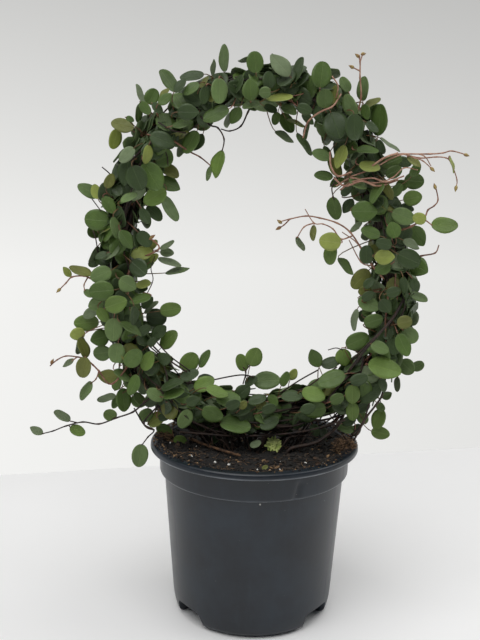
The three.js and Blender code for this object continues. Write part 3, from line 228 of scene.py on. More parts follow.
SHOOTS = {
    "shoot_right_long": {
        "lines": [
            [
                (372, 167, -5), (381, 160, -12), (392, 155, -14), (403, 154, -12), (430, 154, -8),
                (443, 153, -6), (452, 151, -4), (467, 155, -2),
            ],
            [
                (403, 154, -12), (420, 158, -10), (436, 157, -8), (446, 158, -7), (451, 163, -6),
                (457, 180, -6), (455, 190, -6),
            ],
            [(404, 154, -12), (415, 158, -14), (423, 161, -15), (432, 169, -15)],
            [
                (350, 177, -14), (374, 168, -15), (394, 157, -15), (410, 154, -14), (424, 156, -12),
                (431, 166, -11),
            ],
            [
                (336, 186, -12), (352, 178, -15), (374, 183, -17), (392, 178, -16), (404, 168, -15),
                (418, 170, -14),
            ],
        ],
        "leaves": [(450, 156, 455, 173, 5, -7, "y"), (407, 157, 421, 166, 8, -13, "o")],
        "buds": [(466, 155, -2), (432, 169, -15), (456, 188, -6)],
    },
    "shoot_right_budded": {
        "lines": [
            [
                (398, 231, -5), (412, 226, -12), (424, 218, -12), (428, 210, -10), (434, 206, -10),
                (438, 200, -10), (436, 188, -10),
            ],
            [(424, 219, -12), (433, 226, -12)],
        ],
        "leaves": [(431, 225, 458, 226, 16, -12, "b"), (426, 221, 413, 216, 12, -15, "y")],
        "buds": [(435, 187, -10)],
    },
    "shoot_right_twig": {
        "lines": [
            [(400, 262, 5), (421, 256, 2), (435, 253, 4), (439, 245, 6)],
        ],
        "leaves": [],
        "buds": [],
    },
    "shoot_top_right": {
        "lines": [
            [(356, 118, -5), (361, 97, -5), (360, 78, -6), (360, 62, -6), (358, 55, -6)],
            [(360, 71, -6), (352, 67, -8)],
            [(360, 62, -6), (363, 53, -4)],
        ],
        "leaves": [],
        "buds": [(358, 56, -6), (352, 67, -8), (363, 54, -4)],
    },
    "shoot_inner_right": {
        "lines": [
            [
                (384, 279, -5), (372, 265, -8), (361, 248, -9), (350, 232, -10), (337, 223, -10),
                (320, 218, -10), (306, 216, -10), (290, 219, -9), (279, 222, -9),
            ],
            [(290, 219, -9), (284, 225, -8), (278, 229, -8)],
            [
                (352, 236, -10), (341, 239, -13), (333, 229, -13), (323, 224, -13), (314, 223, -12),
                (305, 209, -10),
            ],
            [(314, 223, -12), (304, 227, -12), (297, 238, -12)],
            [(371, 264, -8), (358, 244, -4), (342, 232, -2)],
            [(373, 266, -8), (361, 262, -3), (349, 240, 1)],
        ],
        "leaves": [
            (314, 225, 312, 241, 6, -12, "o"), (296, 237, 304, 251, 6, -12, "u"),
            (341, 243, 319, 240, 19, -15, "y"), (332, 244, 329, 265, 13, -11, "b"),
        ],
        "buds": [(280, 222, -9), (279, 228, -8)],
    },
    "shoot_inner_top": {
        "lines": [
            [(198, 114, -5), (210, 125, -12), (218, 128, -13), (224, 139, -13), (222, 152, -13)],
        ],
        "leaves": [(222, 150, 214, 178, 14, -13, "b")],
        "buds": [],
    },
    "shoot_inner_top_loop": {
        "lines": [
            [(256, 97, 5), (248, 112, 8), (241, 126, 9), (230, 131, 8), (221, 129, 6)],
        ],
        "leaves": [],
        "buds": [],
    },
    "shoot_inner_left_top": {
        "lines": [
            [(160, 131, -5), (187, 150, -5), (200, 157, -3), (211, 166, -3)],
        ],
        "leaves": [(212, 165, 207, 181, 6, -3, "l")],
        "buds": [],
    },
    "shoot_inner_left": {
        "lines": [
            [(130, 262, -5), (158, 250, -12), (154, 241, -12), (149, 239, -12)],
        ],
        "leaves": [],
        "buds": [(152, 237, -12)],
    },
    "shoot_left_upper": {
        "lines": [
            [(118, 288, -5), (92, 279, -9), (84, 276, -9), (72, 277, -8), (66, 283, -8), (59, 290, -8)],
            [(88, 277, -9), (84, 285, -9), (85, 291, -9)],
        ],
        "leaves": [
            (71, 277, 63, 267, 6, -8, "y"), (92, 275, 69, 267, 7, -10, "o"),
            (84, 290, 93, 297, 7, -9, "l"),
        ],
        "buds": [(59, 290, -8)],
    },
    "shoot_left_middle": {
        "lines": [
            [
                (134, 358, -5), (112, 384, -11), (99, 371, -12), (93, 365, -11), (86, 359, -10),
                (78, 357, -9), (66, 356, -8), (57, 360, -8), (50, 366, -8),
            ],
            [(99, 371, -12), (96, 379, -9), (90, 384, -8)],
            [(77, 357, -9), (71, 362, -8)],
        ],
        "leaves": [
            (85, 357, 82, 378, 15, -12, "o"), (92, 382, 81, 400, 9, -8, "l"),
            (74, 359, 63, 367, 5, -8, "u"), (87, 358, 80, 338, 8, -9, "o"),
        ],
        "buds": [(52, 362, -8)],
    },
    "shoot_left_long": {
        "lines": [
            [
                (160, 390, -6), (145, 402, -13), (133, 412, -14), (116, 418, -13), (99, 424, -13),
                (83, 422, -13), (66, 426, -13), (53, 431, -13), (41, 434, -13),
            ],
            [(78, 423, -13), (66, 420, -13)],
        ],
        "leaves": [
            (115, 419, 105, 410, 13, -14, "b"), (70, 421, 54, 411, 5, -13, "u"),
            (70, 427, 85, 434, 11, -13, "b"), (43, 434, 30, 427, 6, -13, "u"),
        ],
        "buds": [],
    },
    "shoot_left_low": {
        "lines": [
            [(166, 398, -5), (144, 422, -7), (154, 430, -6), (148, 437, -8), (142, 445, -9)],
        ],
        "leaves": [(142, 444, 138, 467, 16, -9, "l")],
        "buds": [],
    },
}

# Stems that rise out of the mix into the wreath, as x, y, z upwards, and the loose things on the mix

ROOTED_STEMS = [
    [(-16, -7, 98), (-17, -7, 108), (-22, -4, 118), (-30, 0, 130)],
    [(-9, 8, 98), (-10, 8, 108), (-16, 6, 117), (-26, 2, 130)],
    [(2, -10, 98), (3, -10, 107), (9, -6, 117), (18, 0, 129)],
    [(0, 7, 98), (1, 7, 108), (6, 5, 117), (14, 1, 129)],
    [(-27, -1, 98), (-29, -1, 109), (-43, -5, 118), (-60, -3, 130), (-64, 0, 148)],
    [(-22, 13, 98), (-24, 13, 107), (-42, 11, 114), (-58, 4, 128), (-62, 0, 146)],
    [(20, -13, 98), (22, -13, 107), (40, -11, 112), (54, -4, 124), (56, 0, 141)],
    [(17, 12, 98), (19, 12, 107), (38, 10, 112), (52, 4, 122), (54, 0, 139)],
]
ROOTED_HOMES = (0, 0, 15, 15, 1, 1, 14, 14)
ROOTED_RADIUS = 1.1
TWIG = [(-41, 7), (-30, -6), (-18, -18), (-8, -25)]
SEEDLING = (12.5, -7)
COIR_TUFTS = {
    "coir_tuft_right": ((55.5, -12, 109.5), (7.5, 7, 6)),
    "coir_tuft_left": ((-56.5, 2, 108), (5.5, 4.5, 4)),
}

# Small tools


def draws(seed):
    """Repeatable draws from 0 to 1, by a 32-bit mixing rule."""
    state = seed

    def draw():
        nonlocal state
        state = (state + 0x6D2B79F5) & 0xFFFFFFFF
        mixed = ((state ^ (state >> 15)) * (1 | state)) & 0xFFFFFFFF
        mixed ^= (mixed + (mixed ^ (mixed >> 7)) * (61 | mixed)) & 0xFFFFFFFF
        return ((mixed ^ (mixed >> 14)) & 0xFFFFFFFF) / 4294967296

    return draw


def drawn(draw, least, more):
    """A draw from least to least and more."""
    return least + more * draw()


def round_place(reach, turn):
    return reach * math.cos(turn), reach * math.sin(turn)


def catmull(p0, p1, p2, p3, t):
    out, back = (p2 - p0) * 0.5, (p3 - p1) * 0.5
    curve = 2 * p1 - 2 * p2 + out + back
    bend = -3 * p1 + 3 * p2 - 2 * out - back
    return p1 + out * t + bend * t**2 + curve * t**3


def through(points, steps):
    """A smooth open line through points, with a number of steps from one to the next."""
    ends = [2 * points[0] - points[1], *points, 2 * points[-1] - points[-2]]
    line = []
    for k in range(len(points) - 1):
        line += [catmull(*ends[k : k + 4], step / steps) for step in range(steps)]
    return [*line, points[-1].copy()]


WREATH_POINTS = [Vector((x, 0, z)) for x, z in WREATH_LINE]


def wreath_point(share):
    place = share * len(WREATH_POINTS)
    k = math.floor(place)
    around = [WREATH_POINTS[(k + step) % len(WREATH_POINTS)] for step in (-1, 0, 1, 2)]
    return catmull(*around, place - k)


def wreath_at(share):
    """The wreath's middle line at a share of its turn: the place, and the directions along and outward."""
    turn = share - math.floor(share)
    step = 0.0001
    along = (wreath_point(min(1, turn + step)) - wreath_point(max(0, turn - step))).normalized()
    return wreath_point(turn), along, along.cross(FRONT)


NEAR_STEPS = 560
NEAR_POINTS = np.array([wreath_point(k / NEAR_STEPS)[:] for k in range(NEAR_STEPS)])


def nearest_share(point):
    apart = np.hypot(NEAR_POINTS[:, 0] - point.x, NEAR_POINTS[:, 2] - point.z)
    best = int(np.argmin(apart))
    return best / NEAR_STEPS, float(apart[best])


# Materials


def feed(socket, value):
    """Sets a socket to a value, or links another node's output to it."""
    if isinstance(value, bpy.types.NodeSocket):
        value.id_data.links.new(value, socket)
    else:
        socket.default_value = value


def add_node(tree, kind, inputs, **settings):
    made = tree.nodes.new(kind)
    for key, value in settings.items():
        setattr(made, key, value)
    for key, value in inputs.items():
        feed(made.inputs[key], value)
    return made


def new_look(name, roughness, **sockets):
    """A material, its shader and its object coordinates."""
    look = bpy.data.materials.new(name)
    look.use_nodes = True
    shader = look.node_tree.nodes["Principled BSDF"]
    feed(shader.inputs["Roughness"], roughness)
    for key, value in sockets.items():
        feed(shader.inputs[key.replace("_", " ")], value)
    place = add_node(look.node_tree, "ShaderNodeTexCoord", {}).outputs["Object"]
    return look, shader, place


def rgb(red, green, blue):
    """A colour given as it looks on a screen, 0 to 255, as linear light."""
    shares = [c / 255 for c in (red, green, blue)]
    return (*[((c + 0.055) / 1.055) ** 2.4 if c > 0.04 else c / 12.92 for c in shares], 1)


def scaled(colour, factor):
    return (*[min(1, c * factor) for c in colour[:3]], 1)


def noise_of(place, scale, detail=2.0, rough=0.5):
    inputs = {"Vector": place, "Scale": scale, "Detail": detail, "Roughness": rough}
    return add_node(place.id_data, "ShaderNodeTexNoise", inputs).outputs[0]


def ramp(factor, dark, light):
    """A colour that runs from dark to light between two shares of a factor."""
    made = add_node(factor.id_data, "ShaderNodeValToRGB", {"Fac": factor})
    for element, (position, colour) in zip(made.color_ramp.elements, (dark, light)):
        element.position = position
        element.color = colour
    return made.outputs["Color"]


def blend(factor, first, second):
    made = add_node(factor.id_data, "ShaderNodeMix", {}, data_type="RGBA")
    for key, value in ((0, factor), (6, first), (7, second)):
        feed(made.inputs[key], value)
    return made.outputs[2]


def maths(kind, first, second=0.0):
    made = add_node(first.id_data, "ShaderNodeMath", {0: first, 1: second}, operation=kind)
    return made.outputs[0]


def times(first, second):
    return maths("MULTIPLY", first, second)


def minus(first, second):
    return maths("SUBTRACT", first, second)


def between(value, low, high, to_low=0.0, to_high=1.0):
    """A value spread from one range to another, and held there."""
    inputs = {"Value": value, "From Min": low, "From Max": high, "To Min": to_low, "To Max": to_high}
    return add_node(value.id_data, "ShaderNodeMapRange", inputs).outputs["Result"]


def colour_and_bump(shader, colour, height, depth):
    """The shader's colour, and its relief with a depth in millimetres."""
    feed(shader.inputs["Base Color"], colour)
    made = add_node(height.id_data, "ShaderNodeBump", {"Height": height, "Distance": depth * MM})
    feed(shader.inputs["Normal"], made.outputs["Normal"])


LEAF_GLOSS = 0.36
LEAF_RELIEF = 0.12
RIB_EDGES = (0.004, 0.026)
SIDE_VEINS = 7
SIDE_SLANT = 1.15
SIDE_STRENGTH = 0.45
VEIN_STRENGTH = 0.26
PATCH_SCALE = 42
PATCH_SHADES = (0.72, 1.22)
MOTTLE_SCALE = 420
MOTTLE_SHADE = 0.62
MOTTLE_STRENGTH = 0.25
PALE_RIM = (0.36, 0.5)
PALE_RIM_STRENGTH = 0.25


def leaf_look(name, colour, vein, roughness):
    """A blade: patchy colour, a fine paler midrib and side veins, and a waxy surface."""
    look, shader, place = new_look(name, roughness, Specular_IOR_Level=LEAF_GLOSS)
    tree = look.node_tree
    uv = add_node(tree, "ShaderNodeUVMap", {}).outputs["UV"]
    parts = add_node(tree, "ShaderNodeSeparateXYZ", {"Vector": uv})
    aside = maths("ABSOLUTE", minus(parts.outputs["Y"], 0.5))
    rib = between(aside, *RIB_EDGES, 1, 0)
    slant = minus(parts.outputs["X"], times(aside, SIDE_SLANT))
    waves = maths("SINE", times(slant, math.tau * SIDE_VEINS))
    side = times(between(waves, 0.9, 1.0), between(aside, 0.4, 0.2))
    veins = maths("MAXIMUM", rib, times(side, SIDE_STRENGTH))
    patches = between(noise_of(place, PATCH_SCALE, 1.0), 0.3, 0.7)
    mottle = between(noise_of(place, MOTTLE_SCALE, 3.0), 0.35, 0.65)
    ground = blend(patches, *[scaled(colour, shade) for shade in PATCH_SHADES])
    ground = blend(times(mottle, MOTTLE_STRENGTH), ground, scaled(colour, MOTTLE_SHADE))
    ground = blend(times(between(aside, *PALE_RIM), PALE_RIM_STRENGTH), ground, vein)
    feed(shader.inputs["Roughness"], between(mottle, 0, 1, roughness - 0.06, roughness + 0.1))
    relief = minus(times(mottle, 0.35), veins)
    colour_and_bump(shader, blend(times(veins, VEIN_STRENGTH), ground, vein), relief, LEAF_RELIEF)
    return look


STREAK_SCALE = 260
STEM_RELIEF = 0.2
GRAIN_SCALE = 700
CRUMB_ROUGHNESS = 0.95
CRUMB_RELIEF = 0.35


def stem_look(name, dark, light, roughness):
    """Bark or a young stem's skin, streaked with noise."""
    look, shader, place = new_look(name, roughness)
    streaks = noise_of(place, STREAK_SCALE, 4.0, 0.6)
    colour_and_bump(shader, ramp(streaks, (0.36, dark), (0.66, light)), streaks, STEM_RELIEF)
    return look


def crumb_look(name, dark, light):
    """A dull, grainy lump of mix or perlite."""
    look, shader, place = new_look(name, CRUMB_ROUGHNESS)
    grain = noise_of(place, GRAIN_SCALE, 4.0, 0.65)
    colour_and_bump(shader, ramp(grain, (0.35, dark), (0.65, light)), grain, CRUMB_RELIEF)
    return look


POT_COLOUR = rgb(11, 20, 29)
POT_ROUGHNESS = 0.32
POT_RELIEF = 0.02
POT_GRAIN_SCALE = 1500
POT_DUSTY = rgb(42, 54, 65)
DUST_SCALE = 26
DUST_STRENGTH = 0.55
SCUFF_SCALE = 210
SCUFF_STRETCH = (1, 1, 0.06)
SCUFF_STRENGTH = 0.2
POT_SPECK = rgb(150, 150, 150)
SPECK_SCALE = 620
SPECK_STRENGTH = 0.3
# Painted highlight: thin pale lines at the collar's lower edge and the lip's lower edge, broken up by
# noise, standing in for the table's reflection in these rounded edges
POT_PAINTED_HIGHLIGHT = rgb(128, 134, 140)
HIGHLIGHT_HEIGHTS = (90.2, 105.6)
HIGHLIGHT_REACH = 1.0
HIGHLIGHT_BREAK_SCALE = 60
HIGHLIGHT_STRENGTHS = (0.15, 0.75)


def pot_look():
    """Moulded charcoal plastic: fine grain, faint upright scuffs, a film of dust, and painted highlight
    lines along the collar's lower edge and the lip's lower edge.
    """
    look, shader, place = new_look("pot_plastic", POT_ROUGHNESS)
    tree = look.node_tree
    dust = between(noise_of(place, DUST_SCALE, 5.0, 0.62), 0.42, 0.74)
    stretch = add_node(tree, "ShaderNodeMapping", {"Vector": place, "Scale": SCUFF_STRETCH})
    scuffs = between(noise_of(stretch.outputs["Vector"], SCUFF_SCALE, 4.0, 0.6), 0.56, 0.74)
    specks = between(noise_of(place, SPECK_SCALE, 2.0), 0.76, 0.8)
    height = add_node(tree, "ShaderNodeSeparateXYZ", {"Vector": place}).outputs["Z"]
    # Painted highlight: pale lines at two heights, the collar's step and the lip's foot, made patchy with
    # noise
    apart = [maths("ABSOLUTE", minus(height, edge * MM)) for edge in HIGHLIGHT_HEIGHTS]
    highlight_lines = [between(gap, 0.1 * HIGHLIGHT_REACH * MM, HIGHLIGHT_REACH * MM, 1, 0) for gap in apart]
    highlight_patches = between(noise_of(place, HIGHLIGHT_BREAK_SCALE, 3.0), 0.3, 0.7, *HIGHLIGHT_STRENGTHS)
    colour = blend(times(dust, DUST_STRENGTH), POT_COLOUR, POT_DUSTY)
    colour = blend(times(scuffs, SCUFF_STRENGTH), colour, POT_DUSTY)
    colour = blend(times(specks, SPECK_STRENGTH), colour, POT_SPECK)
    colour = blend(times(maths("ADD", *highlight_lines), highlight_patches), colour, POT_PAINTED_HIGHLIGHT)
    dull = maths("ADD", times(dust, 0.12), times(scuffs, 0.08))
    feed(shader.inputs["Roughness"], maths("ADD", dull, POT_ROUGHNESS))
    colour_and_bump(shader, colour, noise_of(place, POT_GRAIN_SCALE, 2.0), POT_RELIEF)
    return look


LEAF_LOOKS = {
    "d": leaf_look("leaf_dark", rgb(58, 75, 41), rgb(96, 116, 70), 0.44),
    "m": leaf_look("leaf_mid", rgb(81, 104, 48), rgb(122, 142, 82), 0.44),
    "b": leaf_look("leaf_bright", rgb(102, 126, 58), rgb(144, 162, 94), 0.46),
    "l": leaf_look("leaf_light", rgb(102, 124, 72), rgb(140, 156, 104), 0.48),
    "y": leaf_look("leaf_yellow", rgb(144, 155, 76), rgb(178, 184, 114), 0.48),
    "o": leaf_look("leaf_olive", rgb(112, 117, 56), rgb(144, 142, 84), 0.48),
    "u": leaf_look("leaf_under", rgb(112, 127, 92), rgb(148, 156, 122), 0.6),
}
UNDER_LOOK = leaf_look("leaf_back", rgb(98, 116, 74), rgb(134, 146, 102), 0.62)
OLD_WOOD = stem_look("stem_old", rgb(26, 19, 15), rgb(66, 47, 36), 0.7)
STALK_LOOK = stem_look("leaf_stalk", rgb(84, 58, 38), rgb(122, 96, 58), 0.6)
YOUNG_LOOK = stem_look("stem_young", rgb(92, 54, 40), rgb(158, 112, 88), 0.5)
PINK_LOOK = stem_look("stem_pink", rgb(132, 88, 70), rgb(186, 146, 122), 0.5)
BUD_LOOK = stem_look("bud", rgb(128, 84, 54), rgb(168, 150, 88), 0.5)


# Meshes


class Piece:
    """Gathers the faces of one piece, in millimetres, with a look for each face."""

    def __init__(self, name):
        self.name = name
        self.points = []
        self.faces = []
        self.face_looks = []
        self.uvs = []
        self.looks = []

    def add(self, points, faces, looks, uvs=None):
        """looks is one material, or one for each face."""
        start = len(self.points)
        self.points.extend(tuple(p) for p in points)
        self.faces.extend(tuple(start + k for k in face) for face in faces)
        self.uvs.extend(uvs if uvs is not None else [(0.5, 0.5)] * len(points))
        for look in looks if isinstance(looks, list) else [looks] * len(faces):
            if look not in self.looks:
                self.looks.append(look)
            self.face_looks.append(self.looks.index(look))

    def make(self, slot, *nodes, smooth=True):
        mesh = bpy.data.meshes.new(self.name)
        mesh.from_pydata([(x * MM, y * MM, z * MM) for x, y, z in self.points], [], self.faces)
        for look in self.looks:
            mesh.materials.append(look)
        mesh.polygons.foreach_set("material_index", self.face_looks)
        mesh.polygons.foreach_set("use_smooth", [smooth] * len(self.faces))
        corners = np.empty(len(mesh.loops), dtype=np.int32)
        mesh.loops.foreach_get("vertex_index", corners)
        layer = mesh.uv_layers.new(name="UVMap")
        layer.data.foreach_set("uv", np.array(self.uvs, dtype=np.float32)[corners].ravel())
        mesh.update()
        piece = bpy.data.objects.new(self.name, mesh)
        bpy.context.scene.collection.objects.link(piece)
        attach(piece, "root")
        if nodes:
            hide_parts(*nodes)
        return piece


def skin(rows, inward=False):
    """Faces between rows of points, where each row is a closed ring or a single point."""
    faces = []
    for first, second in zip(rows, rows[1:]):
        for k in range(max(len(first), len(second))):
            a, b = first[k % len(first)], first[(k + 1) % len(first)]
            c, d = second[k % len(second)], second[(k + 1) % len(second)]
            faces.append(tuple(dict.fromkeys((a, c, d, b) if inward else (a, b, d, c))))
    return faces


def rings(count, sides, start=0):
    """The numbers of the points of rings that follow each other."""
    return [range(start + k * sides, start + (k + 1) * sides) for k in range(count)]


def tube(piece, path, radii, sides, look):
    """A round tube along points, closed at both ends, with a radius at each point or one for all."""
    radii = radii if isinstance(radii, list) else [radii] * len(path)
    normal = (path[1] - path[0]).orthogonal().normalized()
    points = []
    for k, at in enumerate(path):
        ahead = (path[min(k + 1, len(path) - 1)] - path[max(k - 1, 0)]).normalized()
        normal = (normal - ahead * normal.dot(ahead)).normalized()
        side = ahead.cross(normal)
        for j in range(sides):
            turn = math.tau * j / sides
            points.append(at + (normal * math.cos(turn) + side * math.sin(turn)) * radii[k])
    rows = rings(len(path), sides)
    piece.add(points, [*skin(rows), tuple(reversed(rows[0])), tuple(rows[-1])], look)


def bow(start, middle, end, steps):
    """A line bent once, from start to end."""
    line = []
    for k in range(steps + 1):
        t = k / steps
        line.append(start * (1 - t) ** 2 + middle * (2 * t * (1 - t)) + end * t**2)
    return line


# Blades

BLADE_THICKNESS = 0.42
RIM_THICKNESS = 0.14
ROUND_POWER = 0.92
POINTED_SHIFT = 0.86
POINTED_POWER = 0.8
RIM_WAVES = 1.25
CUPS = (0.02, 0.16)
BENDS = (-0.16, 0.3)
BEND_START = 0.25
WAVE_HEIGHTS = (0.012, 0.02)


def half_width(u, pointed):
    """Half of a blade's width at a share of its length, as a share of its full width."""
    round_one = 0.5 * math.sqrt(max(0, 4 * u * (1 - u))) ** ROUND_POWER * (1.05 - 0.1 * u)
    pointed_one = 0.5 * max(0, math.sin(math.pi * u**POINTED_SHIFT)) ** POINTED_POWER
    return round_one * (1 - pointed) + pointed_one * pointed


class BladeGrid:
    """The cells of a closed blade: rows along it, columns across it, and a point at each end."""

    def __init__(self, rows, columns, pointed):
        shares, self.faces = [], []
        for layer in (0, 1):
            shares.append((0, 0, layer))
            for row in range(1, rows):
                u = (1 - math.cos(math.pi * row / rows)) / 2
                shares += [(u, 2 * column / columns - 1, layer) for column in range(columns + 1)]
            shares.append((1, 0, layer))
        self.count = len(shares) // 2
        wide = columns + 1
        tip = self.count - 1
        for layer in (0, 1):
            for face in self.sheet(rows, columns, wide, tip):
                face = tuple(layer * self.count + k for k in face)
                self.faces.append(face if layer == 0 else face[::-1])
        self.top_faces = len(self.faces) // 2
        left = [0] + [1 + row * wide for row in range(rows - 1)] + [tip]
        right = [0] + [(row + 1) * wide for row in range(rows - 1)] + [tip]
        for edge, flip in ((left, True), (right, False)):
            for a, b in zip(edge, edge[1:]):
                face = (a, b, b + self.count, a + self.count)
                self.faces.append(face[::-1] if flip else face)
        u, v, layer = np.array(shares).T
        half = np.array([half_width(share, pointed) for share in u])
        self.along, self.across, self.edge = u, v * half, np.abs(v) * (half > 0) + (half == 0)
        self.layer = layer
        self.uvs = [(a, 0.5 + b) for a, b in zip(u.tolist(), self.across.tolist())]

    @staticmethod
    def sheet(rows, columns, wide, tip):
        faces = [(0, 1 + column, 2 + column) for column in range(columns)]
        for row in range(rows - 2):
            for column in range(columns):
                a = 1 + row * wide + column
                faces.append((a, a + wide, a + wide + 1, a + 1))
        last = 1 + (rows - 2) * wide
        faces += [(last + column, tip, last + column + 1) for column in range(columns)]
        return faces


def closed_rim(half):
    return [(0, 0), *half, (1, 0), *[(u, -v) for u, v in reversed(half)]]


FINE_BLADES = [BladeGrid(10, 6, pointed) for pointed in (0, 0.35, 0.1, 0.8, 0.2)]
PLAIN_BLADE = BladeGrid(6, 4, 0.2)
RIM = closed_rim([(0.12, 0.29), (0.42, 0.5), (0.76, 0.37)])
PLAIN_RIM = closed_rim([(0.24, 0.46), (0.7, 0.42)])


class Leaf:
    """Where a blade starts, which way it points, which way its upper face looks, and its size."""

    def __init__(self, base, axis, normal, length, width, plain, tone):
        self.base = base
        self.along = axis.normalized()
        self.side = normal.cross(self.along).normalized()
        self.face = self.along.cross(self.side)
        self.length = length
        self.width = width
        self.plain = plain
        self.tone = tone
        self.middle = base + self.along * (length / 2)

    def rim(self):
        points = []
        for u, v in PLAIN_RIM if self.plain else RIM:
            across = v * self.width
            cup = self.face * (BLADE_CUP * abs(across))
            points.append(self.base + self.along * (u * self.length) + self.side * across + cup)
        return points


def add_blade(piece, leaf, draw, grid=None):
    """A leaf's blade: cupped and bent, with a slightly waved rim."""
    grid = grid or FINE_BLADES[int(draw() * len(FINE_BLADES))]
    cup, bend = drawn(draw, *CUPS), drawn(draw, *BENDS)
    wave, phase = drawn(draw, *WAVE_HEIGHTS), math.tau * draw()
    across, along = grid.across * leaf.width, grid.along * leaf.length
    lift = cup * across**2 / (leaf.width / 2) - bend * leaf.length * (grid.along - BEND_START) ** 2
    lift += wave * leaf.length * np.sin(math.tau * RIM_WAVES * grid.along + phase) * grid.edge**2
    lift -= grid.layer * (RIM_THICKNESS + (BLADE_THICKNESS - RIM_THICKNESS) * (1 - grid.edge**2))
    points = np.outer(along, leaf.along) + np.outer(across, leaf.side) + np.outer(lift, leaf.face)
    points += np.array(leaf.base)
    under = LEAF_LOOKS["u"] if leaf.tone == "u" else UNDER_LOOK
    looks = [LEAF_LOOKS[leaf.tone]] * grid.top_faces + [under] * (len(grid.faces) - grid.top_faces)
    piece.add(points.tolist(), grid.faces, looks, grid.uvs)


# Leaves in their places, by the same rules as in the frame

MIN_LENGTH = 1.1
MIN_WIDTH = 0.68
MAX_PITCH = math.radians(50)
MAX_ROLL = math.radians(74)
EDGE_ON = math.radians(48)
DEPTH_TRIES = (0, -3, 3, -6, 6, -9, 9)
LATE_DEPTH_TRIES = (*DEPTH_TRIES, -12, 12, -15, 15)
POKE_MARGIN = 0.6


def leaf_in_view(row, depth, outward):
    """A leaf as the photograph shows it: what looks short or narrow is turned away from the eye."""
    base_x, base_y, tip_x, tip_y, wide, tone = row
    start, end = spot(base_x, base_y, depth), spot(tip_x, tip_y, depth)
    seen = end - start
    shown = seen.length
    across = wide * shown / math.hypot(tip_x - base_x, tip_y - base_y)
    length = max(shown, across * MIN_LENGTH)
    width = max(across, length * MIN_WIDTH)
    pitch = min(math.acos(shown / length), MAX_PITCH)
    roll = min(math.acos(across / width), MAX_ROLL)
    axis = seen.normalized() * math.cos(pitch) + FRONT * math.sin(pitch)
    side = axis.cross(FRONT).normalized()
    lean = -1 if side.dot(UP) + 0.5 * side.dot(outward) < 0 else 1
    normal = side.cross(axis) * math.cos(roll) + side * (lean * math.sin(roll))
    base = (start + end) / 2 - axis * (length / 2)
    return Leaf(base, axis, normal, length, width, roll > EDGE_ON, tone)


def root_for(leaf):
    """The share of the wreath where a leaf's stalk is rooted, and the place in the wood."""
    behind = leaf.base - leaf.along * STALK_LEAD
    share, _ = nearest_share(behind)
    at = wreath_at(share)[0]
    depth = BOTTOM_ROOT_DEPTH if int(share * SPRAYS) in BOTTOM_SPRAYS else ROOT_DEPTH
    return share, at + (behind - at).normalized() * depth


def pokes(one, other):
    """Whether points of one blade come closer than the clearance to the other blade."""
    for point in [*one.rim(), one.middle]:
        reach = point - other.middle
        u = reach.dot(other.along) / (other.length / 2 + POKE_MARGIN)
        v = reach.dot(other.side) / (other.width / 2 + POKE_MARGIN)
        if u * u + v * v < 1 and abs(reach.dot(other.face)) < CLEARANCE:
            return True
    return False


def is_clear(leaf, others):
    for other in others:
        if (leaf.middle - other.middle).length > (leaf.length + other.length) / 2 + CLEARANCE:
            continue
        if pokes(leaf, other) or pokes(other, leaf):
            return False
    return True


def front_leaf(row, others, tries):
    """A leaf of the front, moved in depth until it is clear of the ones before it, or None."""
    share, apart = nearest_share(spot((row[0] + row[2]) / 2, (row[1] + row[3]) / 2, 0))
    outward = wreath_at(share)[2]
    surface = -math.sqrt(max(0, 1 - (apart / BAND_RADIUS) ** 2)) * BAND_RADIUS
    for shift in tries:
        leaf = leaf_in_view(row, surface + shift, outward)
        if is_clear(leaf, others):
            return leaf
    return None


BACK_TONES = "dmmdbmodmlmdyudm"
BACK_TURNS = (62, 236)
BACK_LENGTHS = (12, 4.5)
BACK_WIDTHS = (0.76, 0.16)
BACK_REACHES = (11.5, 5.5)


def back_leaf(spray, number):
    """A leaf of the sides and back, drawn at random round the wreath's section."""
    draw = draws(spray * 1000 + number * 7 + 11)
    at, along, outward = wreath_at((spray + draw()) / SPRAYS)
    turn = math.radians(drawn(draw, *BACK_TURNS))
    away = FRONT * math.cos(turn) + outward * math.sin(turn)
    aside = along.cross(away)
    length = drawn(draw, *BACK_LENGTHS)
    width = length * drawn(draw, *BACK_WIDTHS)
    spin = math.tau * draw()
    lift = 0.1 + 0.8 * draw() * draw()
    axis = (along * math.cos(spin) + aside * math.sin(spin) + away * lift).normalized()
    tilt = Vector((draw() - 0.5, draw() - 0.5, 0.3 + 0.5 * draw()))
    middle = at + away * drawn(draw, *BACK_REACHES)
    tone = BACK_TONES[(spray * 5 + number * 3) % len(BACK_TONES)]
    return Leaf(middle - axis * (length / 2), axis, away + tilt * 0.8, length, width, True, tone)


# More leaves than the frame holds: deep dark ones inside the band, and a second layer at its sides and back

DEEP_LEAVES = 48
DEEP_TONES = "ddmdddmdodddmddu"
DEEP_REACHES = (5, 6.5)
DEEP_LENGTHS = (11, 4)
SECOND_LEAVES = 16
SECOND_TURNS = (78, 204)
SECOND_REACHES = (11, 5.5)
SECOND_LENGTHS = (11.5, 4.5)
DRAWN_LIFTS = (0.05, 0.5)
DRAWN_WIDTHS = (0.74, 0.18)


def drawn_leaf(spray, draw, turn, reach, length, tone):
    """A leaf in a direction round the wreath's section, at a reach from its middle line."""
    at, along, outward = wreath_at((spray + draw()) / SPRAYS)
    away = FRONT * math.cos(turn) + outward * math.sin(turn)
    aside = along.cross(away)
    spin = math.tau * draw()
    lift = drawn(draw, *DRAWN_LIFTS)
    axis = (along * math.cos(spin) + aside * math.sin(spin) + away * lift).normalized()
    tilt = Vector((draw() - 0.5, draw() - 0.5, 0.2 + 0.5 * draw()))
    middle = at + away * reach
    width = length * drawn(draw, *DRAWN_WIDTHS)
    return Leaf(middle - axis * (length / 2), axis, away + tilt, length, width, True, tone)


def deep_leaf(spray, number):
    draw = draws(70000 + spray * 500 + number)
    turn, reach = math.tau * draw(), drawn(draw, *DEEP_REACHES)
    tone = DEEP_TONES[(spray * 7 + number) % len(DEEP_TONES)]
    return drawn_leaf(spray, draw, turn, reach, drawn(draw, *DEEP_LENGTHS), tone)


